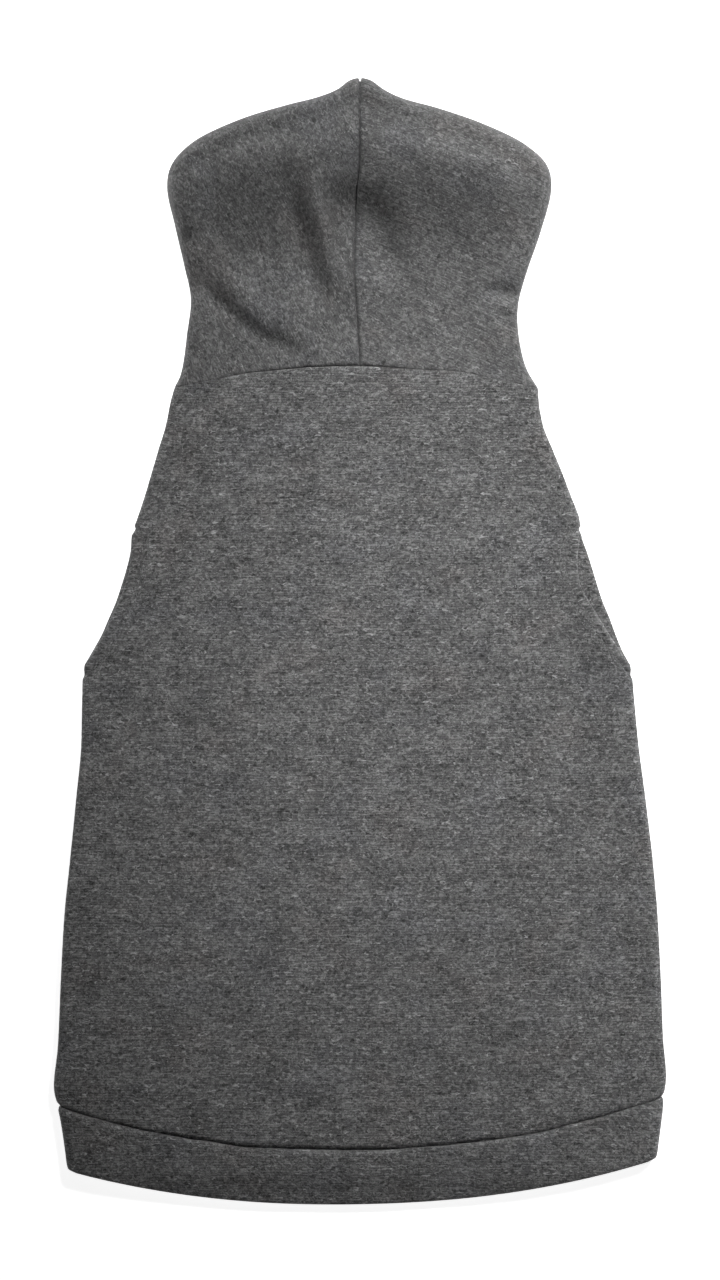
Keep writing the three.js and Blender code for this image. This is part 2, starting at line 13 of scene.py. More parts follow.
import bpy
import numpy as np
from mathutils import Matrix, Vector


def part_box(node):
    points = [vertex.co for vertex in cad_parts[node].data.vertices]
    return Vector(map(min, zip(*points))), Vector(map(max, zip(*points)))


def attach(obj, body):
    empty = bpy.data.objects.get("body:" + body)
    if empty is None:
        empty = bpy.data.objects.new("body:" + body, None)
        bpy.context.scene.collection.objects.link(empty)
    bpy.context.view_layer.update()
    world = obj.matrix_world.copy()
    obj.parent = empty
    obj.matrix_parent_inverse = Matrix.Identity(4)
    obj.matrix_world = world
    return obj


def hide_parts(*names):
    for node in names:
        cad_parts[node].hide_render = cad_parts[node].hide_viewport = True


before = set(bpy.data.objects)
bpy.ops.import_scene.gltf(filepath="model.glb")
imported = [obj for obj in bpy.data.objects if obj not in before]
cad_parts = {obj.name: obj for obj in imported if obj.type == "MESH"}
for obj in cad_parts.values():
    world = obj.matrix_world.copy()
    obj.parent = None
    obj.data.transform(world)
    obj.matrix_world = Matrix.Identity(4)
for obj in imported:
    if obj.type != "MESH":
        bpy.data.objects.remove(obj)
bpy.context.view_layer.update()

LOG = logging.getLogger("cat_hoodie")
MM = 0.001
FAR = 9.0  # further than any seam reaches, in millimetres
CUT_MAP = "cut_mm"  # the UV map that holds each point's place on the flat cut, in millimetres
Array = np.ndarray
Tree = bpy.types.NodeTree
Socket = bpy.types.NodeSocket


class Layer(Enum):
    """The two layers of the garment as it lies."""

    UPPER = 1
    LOWER = -1


class Side(Enum):
    """A side of the garment as seen from above."""

    LEFT = -1
    RIGHT = 1


class Cloth(Enum):
    """Material slots of a cut piece."""

    FACE = 0
    BACK = 1


# ---- small functions ------------------------------------------------------------------------------
def mix(low: Array, high: Array, share: Array) -> Array:
    """Returns the value a share of the way from low to high."""
    return low + (high - low) * share


def smooth(value: Array) -> Array:
    """Returns a soft step from 0 to 1 as value goes from 0 to 1."""
    share = np.clip(value, 0.0, 1.0)
    return share * share * (3.0 - 2.0 * share)


def bell(distance: Array, width: float) -> Array:
    """Returns a bell curve, 1 at no distance and about a third at one width."""
    return np.exp(-np.square(distance / width))


def unit(vectors: Array) -> Array:
    """Returns the vectors along the last axis, each made one long."""
    return vectors / np.maximum(np.linalg.norm(vectors, axis=-1, keepdims=True), 1e-9)


def through(at: Array, places: Array, values: Array) -> Array:
    """Reads a table along a smooth curve that keeps between neighbouring rows.

    Args:
        at: Where to read, in the same unit as places.
        places: The rows' places, rising or falling.
        values: The rows' values.

    Returns:
        The values at those places, level with the end rows beyond them.
    """
    order = np.argsort(places)
    rows = np.asarray(places, float)[order]
    heights = np.asarray(values, float)[order]
    width = np.diff(rows)
    slope = np.diff(heights) / width
    before, after = slope[:-1], slope[1:]
    same_way = before * after > 0
    weight_before = 2 * width[1:] + width[:-1]
    weight_after = width[1:] + 2 * width[:-1]
    safe_before = np.where(same_way, before, 1.0)
    safe_after = np.where(same_way, after, 1.0)
    shared = weight_before / safe_before + weight_after / safe_after
    harmonic = (weight_before + weight_after) / shared
    tangent = np.concatenate([slope[:1], np.where(same_way, harmonic, 0.0), slope[-1:]])
    row = np.clip(np.searchsorted(rows, at) - 1, 0, len(width) - 1)
    share = np.clip((at - rows[row]) / width[row], 0.0, 1.0)
    squared, cubed = share**2, share**3
    return (
        heights[row] * (2 * cubed - 3 * squared + 1)
        + heights[row + 1] * (3 * squared - 2 * cubed)
        + tangent[row] * width[row] * (cubed - 2 * squared + share)
        + tangent[row + 1] * width[row] * (cubed - squared)
    )


def spread(length: Array, first: tuple, last: tuple, count: int) -> Array:
    """Shares rows out into columns, with fixed steps at both ends and even ones between.

    Args:
        length: The length of each row.
        first: Distances of the first columns from the row's start, the first of them 0.
        last: Distances of the last columns from the row's end, the first of them 0.
        count: How many even columns lie between those.

    Returns:
        Distances from the row's start, a row for each length.
    """
    start = np.broadcast_to(np.asarray(first, float), (len(length), len(first)))
    end = length[:, None] - np.asarray(last, float)[::-1]
    share = np.linspace(0.0, 1.0, count + 2)[1:-1]
    middle = mix(start[:, -1:], end[:, :1], share)
    return np.hstack([start, middle, end])


class Curve:
    """A smooth curve through points in plan, read by its share of length."""

    SAMPLES = 60

    def __init__(self, points: list[tuple[float, float]]) -> None:
        """Runs the curve through its points.

        Args:
            points: The places that it passes through, in order.
        """
        knots = np.asarray(points, float)
        knots = np.vstack([2 * knots[0] - knots[1], knots, 2 * knots[-1] - knots[-2]])
        steps = np.sqrt(np.linalg.norm(np.diff(knots, axis=0), axis=1))
        share = np.linspace(0, 1, self.SAMPLES, endpoint=False)[:, None]
        runs = []
        for k in range(1, len(knots) - 2):
            before, this, after, beyond = knots[k - 1 : k + 3]
            left, middle, right = steps[k - 1 : k + 2]
            pace = (after - this) / middle
            leave = (this - before) / left - (after - before) / (left + middle) + pace
            reach = pace - (beyond - this) / (middle + right) + (beyond - after) / right
            cubic = 2 * this - 2 * after + (leave + reach) * middle
            square = 3 * after - 3 * this - (2 * leave + reach) * middle
            runs.append(this + share * leave * middle + share**2 * square + share**3 * cubic)
        self.points = np.vstack([*runs, knots[-2:-1]])
        lengths = np.linalg.norm(np.diff(self.points, axis=0), axis=1)
        self.distance = np.concatenate([[0.0], np.cumsum(lengths)])
        self.length = self.distance[-1]

    def at(self, share: Array) -> Array:
        """Returns the points at shares of the curve's length."""
        place = np.clip(share, 0, 1) * self.length
        return np.stack([np.interp(place, self.distance, self.points[:, k]) for k in (0, 1)], -1)

    def direction(self, share: Array) -> Array:
        """Returns the unit tangents at shares of the curve's length."""
        step = 0.004
        return unit(self.at(np.minimum(share + step, 1)) - self.at(np.maximum(share - step, 0)))


@dataclass(frozen=True)
class Fold:
    """A soft fold of the cloth along a path: a ridge where rise is above 0, else a trough."""

    name: str
    path: tuple[tuple[float, float], ...]
    width: float
    rise: float
    fade: float = 0.0  # the share of the path over which it dies out at each end

    def lift(self, x: Array, y: Array) -> Array:
        """Measures how far the fold lifts the cloth.

        Args:
            x: Places across the garment.
            y: Places up the garment.

        Returns:
            The rise at those places, below 0 where the fold is a trough.
        """
        shape = np.broadcast(x, y).shape
        away, place, walked = np.full(shape, np.inf), np.zeros(shape), 0.0
        total = sum(math.dist(start, end) for start, end in zip(self.path, self.path[1:]))
        for start, end in zip(self.path, self.path[1:]):
            along_x, along_y = end[0] - start[0], end[1] - start[1]
            length = math.hypot(along_x, along_y)
            from_x, from_y = x - start[0], y - start[1]
            share = np.clip((from_x * along_x + from_y * along_y) / length**2, 0, 1)
            distance = np.hypot(from_x - share * along_x, from_y - share * along_y)
            nearer = distance < away
            place = np.where(nearer, (walked + share * length) / total, place)
            away = np.where(nearer, distance, away)
            walked += length
        strength = smooth(np.minimum(place, 1 - place) / self.fade) if self.fade else 1.0
        return self.rise * bell(away, self.width) * strength


@dataclass(frozen=True)
class Hollow:
    """A dip in the cloth that falls away over its own length on each side."""

    name: str
    centre: tuple[float, float]
    left: float
    right: float
    above: float
    below: float
    rise: float

    def lift(self, x: Array, y: Array) -> Array:
        """Measures how far the hollow lifts the cloth.

        Args:
            x: Places across the garment.
            y: Places up the garment.

        Returns:
            The rise at those places, below 0 where the cloth sinks.
        """
        from_x, from_y = x - self.centre[0], y - self.centre[1]
        across = from_x / np.where(from_x < 0, self.left, self.right)
        up = from_y / np.where(from_y < 0, self.below, self.above)
        return self.rise * bell(np.hypot(across, up), 1.0)


def lift_of(folds: tuple[Fold | Hollow, ...], x: Array, y: Array) -> Array:
    """Returns how far all of the folds together lift the cloth at places in plan."""
    return sum((fold.lift(x, y) for fold in folds), np.zeros(np.broadcast(x, y).shape))


@dataclass(frozen=True)
class Waviness:
    """The slight unevenness of cloth that has been worn and laid down, as a sum of seeded ripples."""

    seed: int
    height: float
    shortest: float = 11.0
    longest: float = 60.0
    ripples: int = 26
    short_bias: float = 1.6  # above 1 there are more short ripples than long ones
    growth: float = 0.8  # how fast a ripple's height grows with its length

    def lift(self, x: Array, y: Array) -> Array:
        """Adds the ripples up.

        Args:
            x: Places across the garment.
            y: Places up the garment.

        Returns:
            The unevenness at those places, up or down.
        """
        draw = np.random.default_rng(self.seed)
        total = np.zeros(np.broadcast(x, y).shape)
        for _ in range(self.ripples):
            length = mix(self.shortest, self.longest, draw.random() ** self.short_bias)
            turn, phase = draw.random() * math.tau, draw.random() * math.tau
            across = (x * math.cos(turn) + y * math.sin(turn)) * math.tau / length
            total += np.sin(across + phase) * (length / self.longest) ** self.growth
        return total * self.height / math.sqrt(self.ripples / 2)


@dataclass(frozen=True)
class Seam:
    """How cloth turns down into a sewn seam, with a dimple at each stitch and uneven puckers."""

    width: float = 0.3  # the groove between the two pieces' faces, where the seam is deepest
    depth: float = 1.25
    radius: float = 1.6
    sharpness: float = 1.7
    stitch: float = 3.0
    dimple: float = 0.14
    dimple_reach: float = 1.5
    pucker: float = 0.66
    pucker_reach: float = 4.5
    middle: float = 0.0  # where along the seam it is deepest
    reach: float = 60.0
    least: float = 0.45  # its strength far from there
    uneven: Waviness = Waviness(seed=5, height=0.12, shortest=6.0, longest=22.0, ripples=9)

    def strength(self, along: Array) -> Array:
        """Returns how marked the seam is at places along it, unevenly about 1 where it is deepest."""
        ripple = self.uneven.lift(along, np.zeros_like(along))
        return mix(self.least, 1.0, bell(along - self.middle, self.reach)) * (1 + ripple)

    def gap(self, along: Array) -> Array:
        """Returns the distance between the two pieces' faces at places along the seam."""
        return self.width * self.strength(along)

    def sink(self, distance: Array, along: Array) -> Array:
        """Measures how far the outer face sinks near the seam.

        Args:
            distance: How far each point lies from the seam line.
            along: How far along the seam each point lies.

        Returns:
            The depth below the plain face.
        """
        strength = self.strength(along)
        inside = np.clip(1 - distance / self.radius, 0.0, 1.0)
        turn = self.depth * inside**self.sharpness
        dimple = self.dimple * (0.5 - 0.5 * np.cos(along * math.tau / self.stitch))
        pucker = self.pucker * np.abs(strength - bell(along - self.middle, self.reach))
        return strength * (
            turn
            + dimple * np.exp(-distance / self.dimple_reach)
            + pucker * np.exp(-distance / self.pucker_reach)
        )


# Distances of the grid lines next to a seam, closest where the cloth turns down into it.
SEAM_STEPS = (0.0, 0.04, 0.14, 0.3, 0.5, 0.75, 1.05, 1.5, 2.2, 3.1, 4.2)
NECK_SEAM = Seam(width=0.3, depth=0.55, radius=1.1, middle=-12.0, reach=38.0, least=0.1)
HEM_SEAM = Seam(width=0.5, depth=1.0, radius=1.6, middle=-10.0, reach=110.0, least=0.4)
CENTRE_SEAM = Seam(width=1.05, depth=1.35, radius=1.2, middle=150.0, reach=60.0, least=0.9)


# ---- a closed shell of cloth ----------------------------------------------------------------------
@dataclass
class Shell:
    """A wall of cloth between two grids of points, closed by a rim all round.

    facing is 1 where the columns run to the right of the rows as seen from outside, and -1 where they
    run left. A ring's last column joins its first. cut is the place of each column on the flat cut,
    seen from the column after it, and cut_before the same seen from the column before it.
    """

    name: str
    outer: Array
    inner: Array
    bulge: Array
    cut: Array
    cut_before: Array
    facing: int = 1
    ring: bool = False
    inner_face: Array | None = None  # True where the inner side shows the cloth's face
    rim_spans: int = 6

    def quads(self) -> tuple[Array, Array]:
        """Lists the outer grid's quads.

        Returns:
            The rows and the columns of their corners on the grid.
        """
        rows, columns = self.outer.shape[:2]
        across = columns if self.ring else columns - 1
        i, j = np.meshgrid(np.arange(rows - 1), np.arange(across), indexing="ij")
        row = np.stack([i, i + 1, i + 1, i], -1).reshape(-1, 4)
        column = np.stack([j, j, j + 1, j + 1], -1).reshape(-1, 4)
        return row, column

    def loops(self) -> list[list[tuple[int, int]]]:
        """Lists the grid's edges.

        Returns:
            Closed loops of grid places, each a row and a column.
        """
        rows, columns = self.outer.shape[:2]
        first = [(0, j) for j in range(columns)]
        last = [(rows - 1, j) for j in range(columns - 1, -1, -1)]
        if self.ring:
            return [first, last]
        right = [(i, columns - 1) for i in range(1, rows - 1)]
        left = [(i, 0) for i in range(rows - 2, 0, -1)]
        return [first + right + last + left]

    def rim(self, loop: list[tuple[int, int]], base: int) -> tuple[Array, Array, Array]:
        """Builds the rim along one loop of the grid's edge.

        Args:
            loop: The edge's grid places in order.
            base: The index that the rim's first new vertex will have.

        Returns:
            The new vertices, the rim's quads, and their corners' places on the cut.
        """
        rows, columns = self.outer.shape[:2]
        i, j = np.asarray(loop).T
        outer, inner = self.outer[i, j], self.inner[i, j]
        middle = (outer + inner) / 2
        angle = np.linspace(0, math.pi, self.rim_spans + 1)[1:-1, None, None]
        made = middle + (outer - middle) * np.cos(angle) + self.bulge[i, j] * np.sin(angle)
        flat = i * columns + j
        new = base + np.arange(made.shape[0] * len(loop)).reshape(made.shape[0], len(loop))
        levels = np.vstack([flat, new, flat + rows * columns])
        # The cut goes on past the edge by the rim's own length.
        inward_i = np.clip(i, 1, rows - 2)
        inward_j = j if self.ring else np.clip(j, 1, columns - 2)
        away = unit(self.cut[i, j] - self.cut[inward_i, inward_j])
        size = np.linalg.norm(outer - inner, axis=1) + np.linalg.norm(self.bulge[i, j], axis=1)
        share = np.linspace(0, 1, self.rim_spans + 1)[:, None, None]
        cuts = self.cut[i, j] + away * size[:, None] * share
        after = np.roll(np.arange(len(loop)), -1)
        quads, places = [], []
        for level in range(self.rim_spans):
            low, high = levels[level], levels[level + 1]
            quads.append(np.stack([low[after], high[after], high, low], -1))
            near, far = cuts[level], cuts[level + 1]
            places.append(np.stack([near[after], far[after], far, near], 1))
        return made.reshape(-1, 3), np.vstack(quads), np.concatenate(places)

    def surface(self) -> tuple[Array, Array, Array, Array]:
        """Puts the two faces and the rims together.

        Returns:
            The points, the quads' corners, their places on the cut, and the quads' material slots.
        """
        rows, columns = self.outer.shape[:2]
        row, column = self.quads()
        wrapped = column % columns
        face = row * columns + wrapped
        places = np.where(
            (np.arange(4) < 2)[:, None], self.cut[row, wrapped], self.cut_before[row, wrapped]
        )
        back = face[:, ::-1] + rows * columns
        slot = np.full(len(face), Cloth.BACK.value)
        if self.inner_face is not None:
            shows = self.inner_face[row[:, 0], column[:, 0]]
            slot[shows] = Cloth.FACE.value
        points = [self.outer.reshape(-1, 3), self.inner.reshape(-1, 3)]
        quads, cuts = [face, back], [places, places[:, ::-1]]
        slots = [np.full(len(face), Cloth.FACE.value), slot]
        for loop in self.loops():
            made, rim_quads, rim_cuts = self.rim(loop, sum(len(part) for part in points))
            points.append(made)
            quads.append(rim_quads)
            cuts.append(rim_cuts)
            slots.append(np.full(len(rim_quads), Cloth.FACE.value))
        corners, corner_cuts = np.vstack(quads), np.concatenate(cuts)
        if self.facing < 0:
            corners, corner_cuts = corners[:, ::-1], corner_cuts[:, ::-1]
        return np.vstack(points), corners, corner_cuts, np.concatenate(slots)

    def build(self, materials: list[bpy.types.Material]) -> bpy.types.Object:
        """Makes the shell's mesh object.

        Args:
            materials: The cloth's face and back finishes.

        Returns:
            The object, at the origin, in metres.
        """
        points, corners, corner_cuts, slots = self.surface()
        mesh = bpy.data.meshes.new(self.name)
        vertices = points * MM
        mesh.vertices.add(len(vertices))
        mesh.vertices.foreach_set("co", vertices.astype(np.float32).ravel())
        mesh.loops.add(corners.size)
        mesh.loops.foreach_set("vertex_index", corners.astype(np.int32).ravel())
        mesh.polygons.add(len(corners))
        mesh.polygons.foreach_set("loop_start", np.arange(0, corners.size, 4, dtype=np.int32))
        mesh.polygons.foreach_set("material_index", slots.astype(np.int32))
        mesh.polygons.foreach_set("use_smooth", np.ones(len(corners), dtype=bool))
        mesh.uv_layers.new(name=CUT_MAP)
        mesh.uv_layers[CUT_MAP].uv.foreach_set("vector", corner_cuts.astype(np.float32).ravel())
        mesh.update(calc_edges=True)
        mesh.validate()
        piece = bpy.data.objects.new(self.name, mesh)
        bpy.context.scene.collection.objects.link(piece)
        for material in materials:
            mesh.materials.append(material)
        return piece


def face_normals(points: Array, facing: int, ring: bool = False) -> Array:
    """Finds the outward normals of a grid of points.

    Args:
        points: The grid, rows by columns by 3.
        facing: As in Shell.
        ring: Whether the last column joins the first.

    Returns:
        The unit normals.
    """
    if ring:
        across = np.roll(points, -1, axis=1) - np.roll(points, 1, axis=1)
    else:
        across = np.gradient(points, axis=1)
    return unit(np.cross(np.gradient(points, axis=0), across) * facing)


# ---- the flat body: seam lines, side edges and heights --------------------------------------------
@dataclass(frozen=True)
class Section:
    """A row across the body: its side edges, and how far in from them the back armhole edges lie."""

    y: float
    left: float
    right: float
    in_left: float = 0.0
    in_right: float = 0.0


@dataclass(frozen=True)
class BodyPlan:
    """The seam lines, side edges and heights that the body's pieces share."""

    sections: tuple[Section, ...] = (
        Section(90.7, -66.9, 64.1),
        Section(86.0, -68.2, 64.4),
        Section(78.0, -69.8, 65.8),
        Section(69.0, -72.5, 69.3),
        Section(60.5, -75.0, 72.8),
        Section(52.0, -77.5, 76.0),
        Section(44.0, -80.2, 79.0),
        Section(41.0, -81.3, 79.5),
        Section(38.0, -82.0, 79.7, 0.0, 0.6),
        Section(32.0, -82.6, 81.7, 0.3, 3.4),
        Section(26.0, -84.0, 83.6, 1.3, 5.4),
        Section(20.0, -85.8, 85.4, 1.4, 6.2),
        Section(14.0, -87.8, 87.4, 1.0, 5.0),
        Section(8.0, -90.4, 89.9, 0.8, 3.9),
        Section(2.0, -93.0, 92.1, 0.7, 2.4),
        Section(-4.0, -96.4, 94.6, 0.5, 1.0),
        Section(-9.7, -99.3, 97.5),
        Section(-13.0, -99.8, 98.0),
        Section(-20.0, -100.0, 98.6),
        Section(-36.0, -100.3, 100.1),
        Section(-57.0, -102.2, 102.8),
        Section(-79.0, -104.4, 105.4),
        Section(-100.0, -106.5, 107.2),
        Section(-122.0, -107.7, 108.3),
        Section(-144.0, -108.7, 109.1),
        Section(-158.5, -110.2, 110.2),
        Section(-165.2, -109.0, 109.3),
    )
    layer: float = 1.8  # one layer of fleece
    hem: float = 3.0  # two layers pressed together
    hem_width: float = 7.0
    seam_z: float = 2.95  # the side seams, half way between the two layers
    # Heights of the upper layer's face: in the middle, by the seams and by the armholes.
    body_top: float = 5.4
    neck_top: float = 5.8
    hem_top: float = 5.9
    side_top: float = 5.9
    armhole_top: float = 6.5
    side_curl: float = 2.8  # how far in a side edge's curl reaches
    # How far a seam's middle lies above its ends, and where up the body the rows begin to bow.
    neck_bow: float = 7.9
    front_neck_bow: float = -6.3
    hem_bow: float = -17.3
    hem_tilt: float = 3.6  # how much higher the right end lies
    bow_power: float = 2.2
    neck_bow_ends: float = 40.0
    front_bow_ends: float = 60.0
    hem_bow_starts: float = -10.0
    hem_bow_power: float = 1.7
    hem_tilt_starts: float = -110.0
    armhole_high: tuple[float, float] = (38.0, 41.0)  # the side seam opens between these two rows
    armhole_low: tuple[float, float] = (-13.0, -9.7)
    armhole_ease: float = 14.0  # the rise over an armhole dies out over this length of side seam
    # How far from each edge its own height gives way to the middle's.
    seam_rise_width: float = 10.0
    armhole_rise_width: float = 16.0
    neck_rise_width: float = 22.0
    hem_rise_width: float = 20.0
    folds: tuple[Fold, ...] = (
        Fold("hollow by the right armhole", ((66, 38), (71, 10)), 10, -1.2),
        Fold("swell right of the middle", ((34, 24), (36, 2)), 17, 1.1),
        Fold("hollow in the left flank", ((-62, -60), (-54, -140)), 22, -0.6),
        Fold("swell in the right flank", ((58, -70), (52, -130)), 24, 0.6),
    )
    waves: Waviness = Waviness(seed=11, height=0.16)
    wander: Waviness = Waviness(seed=61, height=0.2, shortest=9.0, longest=34.0, ripples=8)
    wander_reach: float = 6.0
    wander_ends: float = 10.0  # the neck seam strays less over this length at each end
    still_edge: float = 5.0  # no waves so close to a side edge

    @property
    def neck_y(self) -> float:
        """Where the neck seam meets the side seams."""
        return self.sections[0].y

    @property
    def hem_y(self) -> float:
        """Where the hem seam meets the side seams, half way between its ends."""
        return self.sections[-1].y

    def column(self, name: str, y: Array) -> Array:
        """Returns one column of the sections' table at places up the body."""
        rows = [section.y for section in self.sections]
        return through(y, rows, [getattr(section, name) for section in self.sections])

    def edges(self, y: Array, layer: Layer) -> tuple[Array, Array]:
        """Returns a layer's left and right edges at places up the body."""
        left, right = self.column("left", y), self.column("right", y)
        if layer is Layer.LOWER:
            return left, right
        return left + self.column("in_left", y), right - self.column("in_right", y)

    def bow(self, y: Array, layer: Layer) -> Array:
        """Measures how far rows bow.

        Args:
            y: Where the rows' ends lie up the body.
            layer: The layer that they are on.

        Returns:
            How far each row's middle lies above its ends.
        """
        if layer is Layer.LOWER:
            share = np.clip(y - self.front_bow_ends, 0, None) / (self.neck_y - self.front_bow_ends)
            return self.front_neck_bow * share**2
        neck = np.clip(y - self.neck_bow_ends, 0, None) / (self.neck_y - self.neck_bow_ends)
        hem = np.clip(self.hem_bow_starts - y, 0, None) / (self.hem_bow_starts - self.hem_y)
        return self.neck_bow * neck**2 + self.hem_bow * hem**self.hem_bow_power

    def tilt(self, y: Array) -> Array:
        """Returns how much higher a row's right end lies than its left end."""
        way = (self.hem_tilt_starts - y) / (self.hem_tilt_starts - self.hem_y)
        return self.hem_tilt * smooth(way)

    def bowed(self, y: Array, x: Array, left: Array, right: Array, bow: Array, tilt: Array) -> Array:
        """Finds points on rows whose middles bow and whose ends tilt.

        Args:
            y: The rows' places up the body, half way between their ends.
            x: Where on the rows the points lie.
            left: The rows' left ends.
            right: The rows' right ends.
            bow: How far each row's middle lies above its ends.
            tilt: How much higher its right end lies than its left end.

        Returns:
            The points' y.
        """
        half = (right - left) / 2
        place = np.clip((x - left - half) / half, -1.0, 1.0)
        return y + bow * (1 - np.abs(place) ** self.bow_power) + tilt / 2 * place

    def seam_line(self, x: Array, section: Section, layer: Layer) -> Array:
        """Returns the y of the neck or hem seam of a layer, at places across the body."""
        bow = self.bow(np.asarray(section.y), layer)
        tilt = self.tilt(np.asarray(section.y))
        line = self.bowed(section.y, x, section.left, section.right, bow, tilt)
        return line + self.stray(x, section.y)

    def stray(self, x: Array, y: Array) -> Array:
        """Measures how far rows beside the neck and hem seams stray, as hand-guided stitching does.

        Args:
            x: Places across the body.
            y: Places up the body.

        Returns:
            How far up each place moves.
        """
        x, y = np.broadcast_arrays(x, y)
        left, right = self.sections[0].left, self.sections[0].right
        ends = smooth((x - left) / self.wander_ends) * smooth((right - x) / self.wander_ends)
        neck, hem = (
            self.wander.lift(x, np.full(x.shape, seam)) * bell(y - seam, self.wander_reach)
            for seam in (self.neck_y, self.hem_y)
        )
        return neck * ends + hem

    def neck_line(self, x: Array, layer: Layer = Layer.UPPER) -> Array:
        """Returns the y of a layer's neck seam."""
        return self.seam_line(x, self.sections[0], layer)

    def hem_line(self, x: Array, layer: Layer = Layer.UPPER) -> Array:
        """Returns the y of a layer's hem seam."""
        return self.seam_line(x, self.sections[-1], layer)

    def neck_round(self, x: Array, upper: Array) -> Array:
        """Returns the y of the neck seam, on the upper layer where upper is True."""
        return np.where(upper, self.neck_line(x), self.neck_line(x, Layer.LOWER))

    def hem_round(self, x: Array, upper: Array) -> Array:
        """Returns the y of the hem seam, on the upper layer where upper is True."""
        return np.where(upper, self.hem_line(x), self.hem_line(x, Layer.LOWER))

    def sewn(self, y: Array) -> Array:
        """Tells the side seams from the armholes.

        Args:
            y: Places up the body.

        Returns:
            1 where the side edges are sewn together and 0 along the armholes.
        """
        high_open, high_sewn = self.armhole_high
        low_sewn, low_open = self.armhole_low
        above = np.clip((y - high_open) / (high_sewn - high_open), 0, 1)
        below = np.clip((low_open - y) / (low_open - low_sewn), 0, 1)
        return above + below

    def settled(self, y: Array) -> Array:
        """Returns 1 along the side seams and 0 along the armholes, with a long soft change."""
        above = smooth((y - self.armhole_high[0] + self.armhole_ease / 2) / self.armhole_ease)
        below = smooth((self.armhole_low[1] - y + self.armhole_ease / 2) / self.armhole_ease)
        return above + below

    def top(self, x: Array, y: Array, from_edge: Array, settled: Array) -> Array:
        """Finds the height of the back panel's outer face.

        Args:
            x: Places across the body.
            y: Places up the body.
            from_edge: Distances from the panel's nearer side edge.
            settled: 1 beside a side seam and 0 beside an armhole.

        Returns:
            The heights above the surface that the garment lies on.
        """
        neck = bell(y - self.neck_line(x), self.neck_rise_width)
        hem = bell(y - self.hem_line(x), self.hem_rise_width)
        middle = self.body_top + (self.neck_top - self.body_top) * neck
        middle = middle + (self.hem_top - self.body_top) * hem
        calm = (1 - neck) * (1 - hem)
        edge = mix(self.armhole_top, self.side_top, settled)
        width = mix(self.armhole_rise_width, self.seam_rise_width, settled)
        waves = self.waves.lift(x, y) * (1 - bell(from_edge, self.still_edge))
        folds = lift_of(self.folds, x, y) * calm
        return mix(middle + folds, edge, bell(from_edge, width)) + waves


